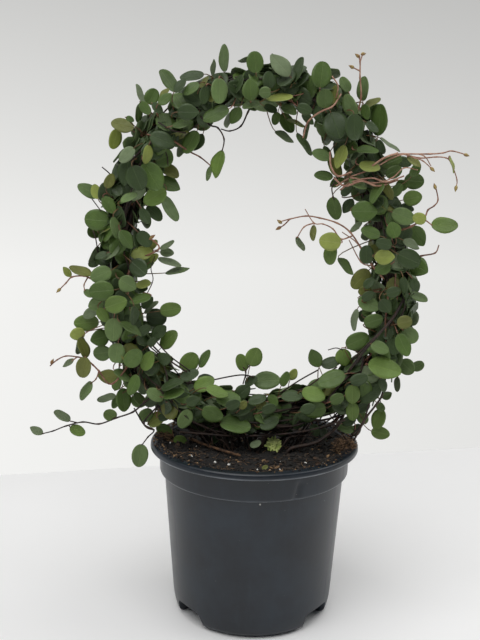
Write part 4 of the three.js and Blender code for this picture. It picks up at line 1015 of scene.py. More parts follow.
def second_leaf(spray, number):
    draw = draws(90000 + spray * 500 + number)
    turn, reach = math.radians(drawn(draw, *SECOND_TURNS)), drawn(draw, *SECOND_REACHES)
    tone = BACK_TONES[(spray * 3 + number * 7) % len(BACK_TONES)]
    return drawn_leaf(spray, draw, turn, reach, drawn(draw, *SECOND_LENGTHS), tone)


# Small leaves that fill gaps of the front, given as the front leaves are

EXTRA_FRONT_LEAVES = [
    (324, 146, 332, 160, 7, "l"), (338, 258, 353, 275, 9, "l"),
    (140, 102, 150, 114, 10, "m"), (152, 103, 163, 113, 9, "d"), (158, 104, 172, 94, 11, "m"),
    (174, 92, 186, 79, 10, "d"), (126, 117, 134, 121, 6, "m"), (264, 106, 277, 112, 8, "d"),
    (281, 106, 297, 113, 10, "m"), (297, 106, 312, 112, 11, "d"), (302, 114, 314, 124, 9, "d"),
    (364, 104, 368, 120, 9, "m"), (366, 122, 378, 132, 9, "d"), (378, 140, 384, 154, 8, "d"),
    (386, 176, 402, 168, 13, "m"), (396, 160, 412, 164, 11, "d"), (392, 196, 402, 184, 11, "m"),
    (400, 206, 414, 210, 9, "d"), (330, 186, 344, 178, 9, "m"), (342, 196, 352, 184, 9, "d"),
    (148, 250, 157, 240, 8, "o"), (150, 262, 158, 254, 7, "y"), (98, 308, 108, 322, 11, "b"),
    (132, 396, 144, 406, 13, "m"), (144, 404, 158, 398, 12, "d"), (140, 420, 152, 410, 13, "m"),
    (138, 384, 146, 394, 9, "d"), (158, 418, 170, 416, 8, "d"), (114, 390, 120, 378, 9, "m"),
    (356, 410, 370, 404, 12, "d"), (366, 424, 358, 410, 11, "m"), (352, 436, 360, 424, 9, "d"),
    (342, 424, 356, 418, 10, "d"), (380, 378, 386, 392, 8, "d"), (362, 300, 374, 292, 10, "d"),
    (362, 314, 374, 308, 10, "m"), (364, 288, 374, 278, 9, "d"), (148, 346, 156, 338, 8, "d"),
    (186, 404, 200, 398, 12, "d"), (226, 408, 240, 402, 12, "d"), (300, 412, 316, 406, 12, "d"),
    (330, 402, 344, 396, 12, "m"), (262, 412, 276, 406, 11, "d"),
]


def add_clear(placed, make, count):
    """Adds a number of drawn leaves to each spray, apart from those that would touch others."""
    for spray in range(SPRAYS):
        for number in range(count):
            leaf = make(spray, number)
            if is_clear(leaf, placed):
                placed.append(leaf)


def place_leaves():
    """Every leaf: those of the loose shoots by shoot, and those of the wreath with their roots."""
    on_shoots = {}
    placed = []
    for name, shoot in SHOOTS.items():
        on_shoots[name] = [leaf_in_view((*row[:5], row[6]), row[5], UP) for row in shoot["leaves"]]
        placed += on_shoots[name]
    shoot_count = len(placed)
    late = []
    for row in [row for rows in FRONT_LEAVES.values() for row in rows]:
        leaf = front_leaf(row, placed, DEPTH_TRIES)
        if leaf:
            placed.append(leaf)
        else:
            late.append(row)
    add_clear(placed, back_leaf, BACK_LEAVES)
    for row in [*late, *EXTRA_FRONT_LEAVES]:
        placed.append(front_leaf(row, placed, LATE_DEPTH_TRIES) or front_leaf(row, [], (0,)))
    add_clear(placed, second_leaf, SECOND_LEAVES)
    on_wreath = [(leaf, *root_for(leaf)) for leaf in placed[shoot_count:]]
    return on_shoots, on_wreath


STALK_RADII = [0.38 * (0.8 + 0.08 * k) for k in range(6)]
KNEE_REACH = 4
BLADE_OVERLAP = 0.4


def add_stalk(piece, leaf, root, look):
    """A stalk that leaves the blade straight and bends to its root."""
    reach = (leaf.base - root).length
    knee = leaf.base - leaf.along * min(0.5 * reach, KNEE_REACH)
    path = bow(leaf.base + leaf.along * BLADE_OVERLAP, knee, root, len(STALK_RADII) - 1)
    tube(piece, path, STALK_RADII, 4, look)


# Stems of the wreath: inner ones close to its middle line, and outer ones that wind round them

WIND_STEPS = 22
INNER_STEMS = 7
INNER_LAPS = (0.1, 0.2)
INNER_NEAR, INNER_FAR = 2.6, (3.4, 1.6)
INNER_TURNS = 0.3
INNER_RADII = (1.05, 0.35)
START_LAPS = (0.15, 0.35)
END_LAPS = (0.1, 0.4)
OUTER_NEAR = 3.2
OUTER_TURNS = (-0.45, 0.9)
OUTER_RADII = (0.4, 0.35)
OUTER_STEMS = {"count": 9, "far": (6, 5), "young": 0.12}
BOTTOM_STEMS = {"count": 16, "far": (5, 9), "young": 0.05}


def winding(start, end, near, far, turn, turns, draw):
    """A line that winds round the wreath's middle line, out from near it and back, and wavers a little."""
    shake = [draw() - 0.5 for _ in range(4)]
    line = []
    for k in range(WIND_STEPS + 1):
        part = k / WIND_STEPS
        at, _, outward = wreath_at(start + (end - start) * part)
        angle = turn + math.tau * turns * part + 0.5 * shake[0] * math.sin(9 * part)
        reach = near + (far - near) * math.sin(math.pi * part) ** 0.7
        reach += 1.4 * shake[1] * math.sin(11 * part + 6 * shake[2]) * math.sin(math.pi * part)
        line.append(at + FRONT * (reach * math.cos(angle)) + outward * (reach * math.sin(angle)))
    return line


def add_wood(piece, spray):
    """The spray's stems, inner ones first; the bottom sprays have more of them."""
    draw = draws(4000 + spray)
    for number in range(INNER_STEMS):
        start = (spray - drawn(draw, *INNER_LAPS)) / SPRAYS
        end = (spray + 1 + drawn(draw, *INNER_LAPS)) / SPRAYS
        turn = math.tau * number / INNER_STEMS
        line = winding(start, end, INNER_NEAR, drawn(draw, *INNER_FAR), turn, INNER_TURNS, draw)
        tube(piece, line, drawn(draw, *INNER_RADII), 6, OLD_WOOD)
    stems = BOTTOM_STEMS if spray in BOTTOM_SPRAYS else OUTER_STEMS
    for _ in range(stems["count"]):
        start = (spray - drawn(draw, *START_LAPS)) / SPRAYS
        end = (spray + 1 + drawn(draw, *END_LAPS)) / SPRAYS
        far = drawn(draw, *stems["far"])
        line = winding(start, end, OUTER_NEAR, far, math.tau * draw(), drawn(draw, *OUTER_TURNS), draw)
        look = YOUNG_LOOK if draw() < stems["young"] else OLD_WOOD
        tube(piece, line, drawn(draw, *OUTER_RADII), 5, look)


# Stems that show in front of the leaves, as x, y in the photograph and depth, with their radius

STRAY_STEMS = [
    ([(150, 343, -8), (166, 358, -9), (187, 372, -8)], 0.55),
    ([(155, 340, -6), (170, 356, -7), (190, 371, -6)], 0.45),
    ([(205, 383, -4), (213, 380, -5), (240, 375, -5), (254, 377, -3)], 0.5),
    ([(243, 367, -6), (246, 372, -6), (243, 384, -5)], 0.4),
    ([(250, 365, -5), (246, 371, -5), (246, 377, -5)], 0.35),
    ([(280, 393, -5), (300, 380, -6), (318, 370, -5)], 0.5),
    ([(284, 391, -3), (303, 389, -5), (320, 378, -6), (337, 367, -4)], 0.5),
    ([(408, 290, -5), (395, 315, -13), (378, 335, -16), (365, 350, -15), (348, 372, -10)], 0.8),
    ([(404, 300, -7), (390, 322, -13), (372, 340, -14), (352, 360, -10)], 0.6),
    ([(386, 374, -8), (382, 395, -12), (375, 406, -13), (366, 418, -13), (354, 440, -12)], 0.65),
    ([(380, 388, -9), (370, 402, -12), (364, 420, -13), (352, 436, -10)], 0.5),
    ([(134, 408, -8), (145, 426, -10), (154, 430, -9)], 0.5),
    ([(328, 350, -8), (336, 348, -8), (343, 350, -7)], 0.35),
    ([(116, 182, -5), (110, 174, -5), (102, 167, -6)], 0.4),
    ([(92, 199, -6), (95, 203, -6), (101, 211, -5)], 0.35),
    ([(93, 230, -8), (96, 240, -8), (98, 254, -6)], 0.4),
    ([(155, 256, -8), (151, 268, -9), (153, 280, -9), (147, 294, -6)], 0.3),
    ([(163, 146, -6), (167, 156, -6), (168, 166, -5)], 0.35),
    ([(334, 200, -8), (332, 187, -9), (339, 176, -7)], 0.4),
    ([(412, 292, -6), (404, 310, -10), (398, 322, -9)], 0.5),
    ([(158, 122, -12), (172, 130, -14), (186, 133, -12)], 0.45),
    ([(190, 438, -6), (228, 424, -8), (280, 428, -7), (338, 408, -6)], 0.6),
    ([(178, 426, -6), (215, 434, -8), (262, 424, -9), (318, 414, -8), (356, 396, -4)], 0.6),
    ([(186, 412, -7), (232, 418, -9), (284, 410, -9), (330, 400, -7), (366, 378, -2)], 0.55),
    ([(180, 432, -10), (240, 436, -13), (300, 432, -12), (345, 420, -10)], 0.65),
]
PINK_STEMS = [
    ([(303, 138, -10), (308, 122, -14), (320, 112, -17), (333, 106, -17), (341, 94, -12)], 0.5),
    ([(330, 152, -14), (331, 166, -16), (338, 176, -18), (352, 172, -17)], 0.55),
    ([(334, 178, -14), (345, 186, -17), (362, 181, -18), (378, 186, -17), (398, 180, -14)], 0.6),
    ([(340, 190, -12), (352, 182, -16), (372, 178, -18), (386, 182, -17), (404, 176, -14)], 0.5),
    ([(372, 166, -16), (384, 158, -17), (398, 153, -15)], 0.6),
    ([(336, 98, -14), (338, 86, -15), (332, 76, -14)], 0.4),
]
LINE_STEPS = 6
CROWN_STEMS = 9
CROWN_WIDTH = 30
CROWN_DEPTHS = (-11, 26)
CROWN_KNEE = 109
CROWN_REACHES = (6, 7)


def add_strays(piece, spray):
    """The stray stems that end nearest to this spray."""
    for stems, look in ((STRAY_STEMS, OLD_WOOD), (PINK_STEMS, PINK_LOOK)):
        for line, radius in stems:
            path = through([spot(*place) for place in line], LINE_STEPS)
            if int(nearest_share(path[-1])[0] * SPRAYS) == spray:
                tube(piece, path, radius, 6, look)


def add_crown(piece, spray):
    """Wiry stems that rise from the middle of the mix and run sideways into the wreath's bottom."""
    draw = draws(8200 + spray)
    for _ in range(CROWN_STEMS):
        at, _, outward = wreath_at((spray + draw()) / SPRAYS)
        turn = math.tau * draw()
        away = FRONT * math.cos(turn) + outward * math.sin(turn)
        end = at + away * drawn(draw, *CROWN_REACHES)
        lean = 1 if end.x > 0 else -1
        foot = Vector((lean * CROWN_WIDTH * draw(), drawn(draw, *CROWN_DEPTHS), SOIL_TOP - 2))
        knee = Vector((foot.x + lean * drawn(draw, 2, 6), foot.y * 1.1, drawn(draw, CROWN_KNEE, 6)))
        middle = (knee + end) / 2 + Vector((0, drawn(draw, -3, 6), drawn(draw, -3, -3)))
        path = through([foot, knee, middle, end], LINE_STEPS)
        tube(piece, path, drawn(draw, *OUTER_RADII), 5, OLD_WOOD)


def make_foliage(on_wreath):
    """One piece for each spray of the wreath, with its stems, leaves and stalks."""
    for spray in range(SPRAYS):
        piece = Piece(f"foliage_{spray + 1:02d}")
        add_wood(piece, spray)
        add_strays(piece, spray)
        if spray in BOTTOM_SPRAYS:
            add_crown(piece, spray)
        draw = draws(500 + spray)
        for leaf, share, root in on_wreath:
            if int(share * SPRAYS) == spray:
                add_blade(piece, leaf, draw)
                add_stalk(piece, leaf, root, STALK_LOOK if draw() < 0.7 else YOUNG_LOOK)
        for number in range(DEEP_LEAVES):
            add_blade(piece, deep_leaf(spray, number), draw, PLAIN_BLADE)
        for home, line in zip(ROOTED_HOMES, ROOTED_STEMS):
            if home == spray:
                path = through([Vector(point) for point in line], LINE_STEPS)
                tube(piece, path, ROOTED_RADIUS, 7, OLD_WOOD)
        piece.make("wreath_foliage", f"wreath_spray_{spray + 1:02d}")


# The hoop

HOOP_POINTS = 120
WIRE_COLOUR = rgb(58, 66, 58)
WIRE_WORN = rgb(96, 84, 70)
WIRE_WEAR_SCALE = 300
WIRE_RELIEF = 0.05


def make_hoop():
    """The ring, open at the bottom, where both ends bend down into the legs."""
    shares = [HOOP_START + (1 - 2 * HOOP_START) * k / HOOP_POINTS for k in range(HOOP_POINTS + 1)]
    ring = [wreath_at(share)[0] for share in shares]
    legs = []
    for end, inward in ((ring[0], 1), (ring[-1], -1)):
        straight = end.x + inward * LEG_BEND
        legs.append([
            Vector((straight, 0, LEG_FOOT)),
            Vector((straight, 0, (LEG_FOOT + end.z) / 2)),
            Vector((straight, 0, end.z - LEG_BEND * 1.3)),
            Vector((end.x + inward * LEG_BEND * 0.7, 0, end.z - LEG_BEND * 0.35)),
        ])
    look, shader, place = new_look("hoop_wire", 0.45, Metallic=0.6)
    worn = between(noise_of(place, WIRE_WEAR_SCALE, 4.0), 0.5, 0.62)
    colour_and_bump(shader, blend(worn, WIRE_COLOUR, WIRE_WORN), worn, WIRE_RELIEF)
    piece = Piece("hoop")
    tube(piece, through([*legs[0], *ring, *reversed(legs[1])], 2), WIRE_RADIUS, 10, look)
    piece.make("hoop_wire", "support_hoop")


# Loose shoots: thin wiry stems with a slight swelling at each joint

SHOOT_RADIUS = 0.58
DARK_SHOOTS = ("shoot_left_long", "shoot_left_low", "shoot_inner_top", "shoot_inner_top_loop")
PINK_SHOOTS = ("shoot_right_long", "shoot_top_right", "shoot_inner_right", "shoot_left_upper")
SHOOT_STEPS = 5
SIDE_SHOOT = 0.8
JOINT_SWELLING = 1.35
BUD_LENGTH = 4
BUD_RADII = [0.3, 0.8, 1.05, 1.0, 0.75, 0.4, 0.08]


def add_bud(piece, at, ahead):
    line = [at + ahead * (BUD_LENGTH * (k / 6 - 0.4)) for k in range(len(BUD_RADII))]
    tube(piece, line, BUD_RADII, 7, BUD_LOOK)


def make_shoots(on_shoots):
    """One piece for each loose shoot, with its leaves, stalks and buds."""
    for name, shoot in SHOOTS.items():
        piece = Piece(f"young_{name}")
        draw = draws(len(name) * 31 + len(shoot["lines"]))
        look = OLD_WOOD if name in DARK_SHOOTS else PINK_LOOK if name in PINK_SHOOTS else YOUNG_LOOK
        paths = []
        for number, line in enumerate(shoot["lines"]):
            path = through([spot(*point) for point in line], SHOOT_STEPS)
            thin = SHOOT_RADIUS * (1 if number == 0 else SIDE_SHOOT)
            radii = [thin * (1 - 0.4 * k / len(path)) for k in range(len(path))]
            for k in range(SHOOT_STEPS, len(path) - 1, SHOOT_STEPS):
                radii[k] *= JOINT_SWELLING
            tube(piece, path, radii, 7, look)
            paths += path
        for leaf in on_shoots[name]:
            add_blade(piece, leaf, draw)
            root = min(paths, key=lambda place: (place - leaf.base).length)
            if (root - leaf.base).length > 0.3:
                add_stalk(piece, leaf, root, look)
        for place in shoot["buds"]:
            at = spot(*place)
            near = sorted(paths, key=lambda point: (point - at).length)
            along = at - near[4]
            add_bud(piece, at, along.normalized() if along.length > 0.2 else UP)
        piece.make("young_shoot", name)


# Potting mix: a crumbly bed with chips of bark, perlite and fibres

BED_RADIUS = 57.4
BED_RINGS = 56
BED_SIDES = 170
BED_DEPTHS = ((57.0, 93), (53.9, 89.6), (48.3, 12.6), (45, 8.7), (0.5, 8.7))
HEAP_START = 43
WALL_HEAP = 3.3
CLODS = {"apart": 4.6, "seed": 3, "height": 1.1}
GRAINS = {"apart": 1.7, "seed": 9, "height": 0.55}
CRUMBS = 2600
CRUMB_LENGTHS = (0.45, 1.5)
RIM_CRUMBS = 700
RIM_REACHES = (57.6, 5.4)
RIM_LENGTHS = (0.4, 0.7)
RIM_SPREAD = 74
PERLITE_LENGTHS = (0.35, 0.45)
NEAR_CORNERS = 1.1
GOLDEN = 1.618
CHIP_POINTS = [
    Vector((x, y, z)).normalized()
    for a in (-1, 1)
    for b in (-GOLDEN, GOLDEN)
    for x, y, z in ((0, a, b), (a, b, 0), (b, 0, a))
]
BED_LOOK = crumb_look("mix_bed", rgb(12, 11, 10), rgb(34, 31, 28))
CRUMB_LOOKS = [
    crumb_look("crumb_black", rgb(14, 12, 11), rgb(36, 32, 28)),
    crumb_look("crumb_brown", rgb(32, 27, 23), rgb(66, 55, 45)),
    crumb_look("crumb_bark", rgb(48, 36, 28), rgb(92, 70, 52)),
    crumb_look("crumb_tan", rgb(98, 74, 50), rgb(156, 126, 92)),
]
CRUMB_SHARES = (0.6, 0.91, 0.965, 1.0)
PERLITE_LOOK = crumb_look("perlite", rgb(196, 192, 184), rgb(240, 238, 232))
PERLITE_PLACES = [(-23, -33.5), (-14.6, -34.7), (1.8, 3.8), (15.3, -44.7), (31, -30), (-38, -22), (24, 18)]
STRAY_PERLITE = 30
DEBRIS = 9
DEBRIS_PLACE = ((6, 11), (-46, 4))
DEBRIS_LENGTHS = (0.8, 1.3)


def soil_height(x, y):
    long = math.sin(x / 9.3 + 1.1) * math.cos(y / 8.1 - 0.4)
    short = math.sin(x / 4.1 - y / 5.3) * math.cos(y / 3.7 + x / 7.9)
    return SOIL_TOP + SOIL_RELIEF * (0.6 * long + 0.4 * short)


def lumps(x, y, kind):
    return noise.noise(Vector((x / kind["apart"], y / kind["apart"], kind["seed"]))) * kind["height"]


def crumbly_height(x, y):
    """The mix's top: the frame's height with clods and grains, heaped up against the pot's wall."""
    heap = WALL_HEAP * max(0, (math.hypot(x, y) - HEAP_START) / (BED_RADIUS - HEAP_START)) ** 2
    return soil_height(x, y) + lumps(x, y, CLODS) + lumps(x, y, GRAINS) + heap - 0.3


def on_mix(x, y, lift):
    return Vector((x, y, crumbly_height(x, y) + lift))


def make_bed():
    """The block of mix: its uneven top, its side along the pot's wall, and its underside."""
    points = [on_mix(0, 0, 0)]
    for ring in range(1, BED_RINGS + 1):
        for k in range(BED_SIDES):
            x, y = round_place(BED_RADIUS * ring / BED_RINGS, math.tau * k / BED_SIDES)
            points.append((x, y, crumbly_height(x, y)))
    for reach, z in BED_DEPTHS:
        points += [(*round_place(reach, math.tau * k / BED_SIDES), z) for k in range(BED_SIDES)]
    rows = [[0], *rings(BED_RINGS + len(BED_DEPTHS), BED_SIDES, 1)]
    piece = Piece("mix_bed")
    piece.add(points, [*skin(rows, inward=True), tuple(reversed(rows[-1]))], BED_LOOK)
    piece.make("potting_mix", "potting_mix")


def chip_faces():
    """The 20 faces of the lump: each joins three corners that lie next to each other."""
    faces = []
    for i, j, k in itertools.combinations(range(len(CHIP_POINTS)), 3):
        a, b, c = CHIP_POINTS[i], CHIP_POINTS[j], CHIP_POINTS[k]
        if max((a - b).length, (b - c).length, (c - a).length) < NEAR_CORNERS:
            faces.append((i, j, k) if (b - a).cross(c - a).dot(a) > 0 else (i, k, j))
    return faces


CHIP_FACES = chip_faces()


def add_chip(piece, at, size, draw, look):
    """A small irregular lump, in length, width and height."""
    turn = Euler((1.2 * draw() - 0.6, 1.2 * draw() - 0.6, 6.28 * draw())).to_matrix()
    points = []
    for corner in CHIP_POINTS:
        reach = drawn(draw, 0.72, 0.5)
        points.append(at + turn @ Vector([c * s * reach for c, s in zip(corner, size)]))
    piece.add(points, CHIP_FACES, look)


def add_bark(piece, draw):
    """A crumb on the mix, most often a small and dark one."""
    x, y = round_place((BED_RADIUS - 1) * math.sqrt(draw()), math.tau * draw())
    long = drawn(lambda: draw() ** 3, *CRUMB_LENGTHS)
    size = (long, long * drawn(draw, 0.5, 0.4), long * drawn(draw, 0.35, 0.4))
    kind = draw()
    look = next(look for look, share in zip(CRUMB_LOOKS, CRUMB_SHARES) if kind <= share)
    add_chip(piece, on_mix(x, y, size[2] * 0.4), size, draw, look)


def add_rim_crumb(piece, draw, side):
    """A crumb on the pot's rim, most often near its left or right end."""
    reach = drawn(lambda: draw() ** 1.6, *RIM_REACHES)
    turn = math.radians((draw() + draw() + draw() - 1.5) * RIM_SPREAD) + math.pi * side
    at = Vector((*round_place(reach, turn), POT_HEIGHT + 0.2))
    long = drawn(lambda: draw() ** 2, *RIM_LENGTHS)
    look = CRUMB_LOOKS[int(4 * draw() ** 1.8)]
    add_chip(piece, at, (long, long * 0.8, long * 0.6), draw, look)


def make_crumbs():
    """Crumbs on the mix and the rim, perlite, and a little pale debris at the front."""
    piece = Piece("mix_crumbs")
    draw = draws(2024)
    for _ in range(CRUMBS):
        add_bark(piece, draw)
    for number in range(RIM_CRUMBS):
        add_rim_crumb(piece, draw, number % 2)
    for place in PERLITE_PLACES:
        size = (drawn(draw, 0.9, 0.5), drawn(draw, 0.8, 0.4), 0.7)
        add_chip(piece, on_mix(*place, 0.5), size, draw, PERLITE_LOOK)
    for _ in range(DEBRIS):
        x, y = [drawn(draw, *ends) for ends in DEBRIS_PLACE]
        long = drawn(draw, *DEBRIS_LENGTHS)
        add_chip(piece, on_mix(x, y, 0.6), (long, 0.6, 0.5), draw, CRUMB_LOOKS[3])
    for _ in range(STRAY_PERLITE):
        x, y = round_place(55 * math.sqrt(draw()), math.tau * draw())
        long = drawn(draw, *PERLITE_LENGTHS)
        add_chip(piece, on_mix(x, y, 0.2), (long, long, long), draw, PERLITE_LOOK)
    piece.make("potting_mix", "potting_mix", smooth=False)


# Leaves that lie on the mix, as x, y of the joint and tip, width, depth and tone

FALLEN_LEAVES = [(250, 446, 261, 442, 6, -13, "u"), (262, 469, 268, 466, 4, -44, "o")]


def make_fallen():
    piece = Piece("fallen_leaves")
    draw = draws(77)
    for *row, depth, tone in FALLEN_LEAVES:
        add_blade(piece, leaf_in_view((*row, tone), depth, UP), draw)
    piece.make("potting_mix")


# Coir: fibres that lie on the mix and that make up the tufts

COIR_LOOKS = [
    stem_look("coir_brown", rgb(74, 54, 38), rgb(132, 104, 74), 0.85),
    stem_look("coir_dark", rgb(40, 30, 23), rgb(80, 60, 44), 0.85),
]
LOOSE_FIBRES = 150
FIBRE_LENGTHS = (3, 7)
FIBRE_BEND = 7
FIBRE_STEPS = 7
FIBRE_RADII = (0.1, 0.12)
TUFT_FIBRES = 190
TUFT_RADII = (0.14, 0.16)
TUFT_SPREAD = 1.2
RIM_TOP = POT_HEIGHT + 0.5


def settled(point):
    """A place moved up onto the mix or the pot's rim where it would be inside them."""
    reach = math.hypot(point.x, point.y)
    floor = crumbly_height(point.x, point.y) + 0.15 if reach < BED_RADIUS else RIM_TOP
    return Vector((point.x, point.y, max(point.z, floor)))


def add_fibre(piece, start, middle, end, radius, look):
    line = [settled(point) for point in bow(start, middle, end, FIBRE_STEPS)]
    tube(piece, line, radius, 4, look)


def make_fibres():
    """Loose fibres on the mix, turned back where they would run into the wall."""
    piece = Piece("mix_fibres")
    draw = draws(311)
    for number in range(LOOSE_FIBRES):
        start = on_mix(*round_place(54 * draw() ** 0.35, math.tau * draw()), 0.3)
        way = Vector((*round_place(1, math.tau * draw()), 0))
        step = way * drawn(draw, *FIBRE_LENGTHS)
        bend = Vector((draw() - 0.5, draw() - 0.5, 0.35 * draw())) * FIBRE_BEND
        end = start + step
        if math.hypot(end.x, end.y) > BED_RADIUS - 0.6:
            end = start - step
        middle = (start + end) / 2 + bend
        add_fibre(piece, start, middle, end, drawn(draw, *FIBRE_RADII), COIR_LOOKS[number % 2])
    piece.make("potting_mix")


def make_tufts():
    """Each tuft: fibres bent through three places round its middle."""
    for number, (name, (at, size)) in enumerate(COIR_TUFTS.items()):
        piece = Piece(f"{name}_fibres")
        draw = draws(600 + number)
        for fibre in range(TUFT_FIBRES):
            bends = []
            for _ in range(3):
                way = Vector((draw() - 0.5, draw() - 0.5, draw() - 0.5)).normalized()
                way *= drawn(draw, 0.35, 0.65)
                bends.append(Vector(at) + Vector([w * s * TUFT_SPREAD for w, s in zip(way, size)]))
            add_fibre(piece, *bends, drawn(draw, *TUFT_RADII), COIR_LOOKS[fibre % 3 // 2])
        piece.make("coir", name)


# Seedling with lobed leaves, and the dead twig

SEEDLING_LEAVES = 7
SEEDLING_LIFT = 3.2
SEEDLING_FACING = Vector((0.05, -0.8, 0.6)).normalized()
# The seedling's greens are its own pale green raised by about half again: painted light against the shade
# of the leaves over it
SEEDLING_GREENS = (rgb(158, 176, 88), rgb(204, 212, 132))
SEEDLING_PATCH_SCALE = 240
SEEDLING_GRAIN_SCALE = 900
SEEDLING_RELIEF = 0.08
LOBES = 5
LOBE_POINTS = 30
LOBE_DEPTH = 0.17
LOBED_CUP = 0.12
LOBED_THICKNESS = 0.28
TWIG_LIFT = 2.2
TWIG_STEPS = 8
TWIG_TAPER = 0.25
FORK_AT = 9
FORK = ((1.4, 1.5, 0.8), (2.2, 3.2, 1.0))
FORK_RADII = [0.6, 0.5, 0.35]


def add_lobed_blade(piece, base, away, face, size, look):
    """A small round blade cut into lobes, thin and closed."""
    side = face.cross(away).normalized()
    middle = base + away * size * 0.5
    points = []
    for layer in (0, LOBED_THICKNESS):
        points.append(middle - face * layer)
        for share in (0.5, 1):
            for k in range(LOBE_POINTS):
                turn = math.tau * k / LOBE_POINTS
                reach = size * share * (0.4 + LOBE_DEPTH * share * math.cos(LOBES * turn))
                lift = LOBED_CUP * size * share**2 - layer
                ahead, aside = round_place(reach, turn)
                points.append(middle + (away * ahead + side * aside) + face * lift)
    top, under = [[[start], *rings(2, LOBE_POINTS, start + 1)] for start in (0, 1 + 2 * LOBE_POINTS)]
    edge = skin([top[-1], under[-1]], inward=True)
    piece.add(points, skin(top, inward=True) + skin(under) + edge, look)


def seedling_look():
    look, shader, place = new_look("seedling_leaf", 0.55)
    patches = between(noise_of(place, SEEDLING_PATCH_SCALE, 3.0), 0.35, 0.65)
    grain = noise_of(place, SEEDLING_GRAIN_SCALE, 2.0)
    # The greens carry painted light that offsets the shade of the leaves over the seedling
    colour_and_bump(shader, blend(patches, *SEEDLING_GREENS), grain, SEEDLING_RELIEF)
    return look


def make_seedling():
    """A rosette of lobed leaves that faces the front, with one small leaf in its middle."""
    look = seedling_look()
    piece = Piece("lobed_seedling")
    crown = Vector((*SEEDLING, soil_height(*SEEDLING) + SEEDLING_LIFT))
    facing = SEEDLING_FACING
    level = Vector((1, 0, 0))
    upright = facing.cross(level)
    draw = draws(88)
    for k in range(SEEDLING_LEAVES):
        turn = math.tau * k / SEEDLING_LEAVES + 0.3
        away = (level * math.cos(turn) - upright * math.sin(turn) + facing * 0.5 * draw()).normalized()
        base = crown + away * drawn(draw, 0.1, 0.6) + facing * (0.7 * k % 1.6)
        tube(piece, bow(crown - UP * 4, crown - UP, base, 6), 0.32, 6, look)
        face = (facing - away * facing.dot(away)).normalized()
        add_lobed_blade(piece, base, away, face, drawn(draw, 4.6, 1.6), look)
    add_lobed_blade(piece, crown + facing * 2 - upright * 1.6, upright, facing, 3.6, look)
    piece.make("seedling", "seedling")


def make_twig():
    """A rough twig that gets thinner toward its end, with a short fork."""
    look = stem_look("twig_bark", rgb(48, 32, 22), rgb(120, 88, 60), 0.9)
    piece = Piece("dead_twig")
    path = through([Vector((x, y, soil_height(x, y) + TWIG_LIFT)) for x, y in TWIG], TWIG_STEPS)
    draw = draws(61)
    radii = [(1 - TWIG_TAPER * k / len(path)) * drawn(draw, 0.88, 0.24) for k in range(len(path))]
    tube(piece, path, radii, 9, look)
    stub = path[FORK_AT]
    tube(piece, [stub, *[stub + Vector(step) for step in FORK]], FORK_RADII, 7, look)
    piece.make("dead_twig", "loose_twig")


# Pot

LIP_FOOT = POT_HEIGHT - LIP_HEIGHT
SHOULDER = LIP_FOOT - COLLAR_HEIGHT
FLOOR_TOP = FLOOR_HEIGHT + FLOOR_THICKNESS
POT_SIDES = 300
COLLAR_ROWS = 12
CORNER_STEPS = 4
CORNER_SHARE = 0.45
SHARP_ANGLE = 38
STUCK_SPECK = (260, 504.5)


def pot_profile():
    """Radius and height of each corner, with how far its rounding runs to either side."""
    underside = [
        (0, 0, 0), (HUB_RADIUS, 0, 0.5), (HUB_RADIUS + 2, FLOOR_HEIGHT, 0.6),
        (FOOT_RADIUS - 3.4, FLOOR_HEIGHT, 0.8), (FOOT_RADIUS - 2.4, 0, 0.3), (FOOT_RADIUS + 1.6, 0, 0.8),
    ]
    body = [
        (FOOT_RADIUS + 4.7, 2.6, 1.6), (BODY_RADIUS_FOOT - 0.6, 7.4, 2),
        (BODY_RADIUS_FOOT, FOOT_HEIGHT, 2.4), (BODY_RADIUS_TOP, SHOULDER, 0.5),
        (COLLAR_RADIUS - 0.4, SHOULDER + 0.8, 1.4), (COLLAR_RADIUS, LIP_FOOT, 0.5),
    ]
    lip = [
        (LIP_RADIUS - 0.6, LIP_FOOT, 0.3), (LIP_RADIUS, LIP_FOOT + 0.8, 0.4),
        (LIP_RADIUS - 0.3, POT_HEIGHT - 0.7, 0.5), (LIP_RADIUS - 1.2, POT_HEIGHT, 0.4),
    ]
    inside = [
        (COLLAR_RADIUS, POT_HEIGHT, 0.9), (COLLAR_RADIUS - WALL, POT_HEIGHT - 1.4, 0.9),
        (COLLAR_RADIUS - WALL - 0.4, SHOULDER + 1.6, 0.8), (BODY_RADIUS_TOP - WALL, SHOULDER, 0.8),
        (BODY_RADIUS_FOOT - WALL, FOOT_HEIGHT, 1), (BODY_RADIUS_FOOT - 4, FLOOR_TOP, 1),
        (HUB_RADIUS + 1, FLOOR_TOP, 0.6), (HUB_RADIUS - 1, FLOOR_THICKNESS, 0.6), (0, FLOOR_THICKNESS, 0),
    ]
    return underside + body + lip + inside


def rounded(profile):
    """The profile's points, with each corner turned into a short bend."""
    points = []
    for k, (r, z, soft) in enumerate(profile):
        if soft == 0:
            points.append(Vector((r, z)))
            continue
        corner = Vector((r, z))
        before, after = Vector(profile[k - 1][:2]) - corner, Vector(profile[k + 1][:2]) - corner
        start = corner + before.normalized() * min(soft, before.length * CORNER_SHARE)
        end = corner + after.normalized() * min(soft, after.length * CORNER_SHARE)
        points += bow(start, corner, end, CORNER_STEPS)
    return points


def with_collar_rows(points):
    """The profile with more rows up the outside of the collar, for the crease in it."""
    made = []
    for point, after in zip(points, points[1:]):
        made.append(point)
        if point.x > COLLAR_RADIUS - 1 and after.y - point.y > COLLAR_HEIGHT / 2:
            made += [point.lerp(after, k / COLLAR_ROWS) for k in range(1, COLLAR_ROWS)]
    return made + points[-1:]


def on_front(x, y, radius):
    """The place on the pot's front at a radius that shows at a pixel of the photograph."""
    at = spot(x, y, -radius)
    for _ in range(4):
        at = spot(x, y, -math.sqrt(radius**2 - at.x**2))
    return at


CREASE = [on_front(x, y, COLLAR_RADIUS) for x, y in ((300, 485), (296, 500))]
CREASE_DEPTH = 1.1
CREASE_REACH = 1.7


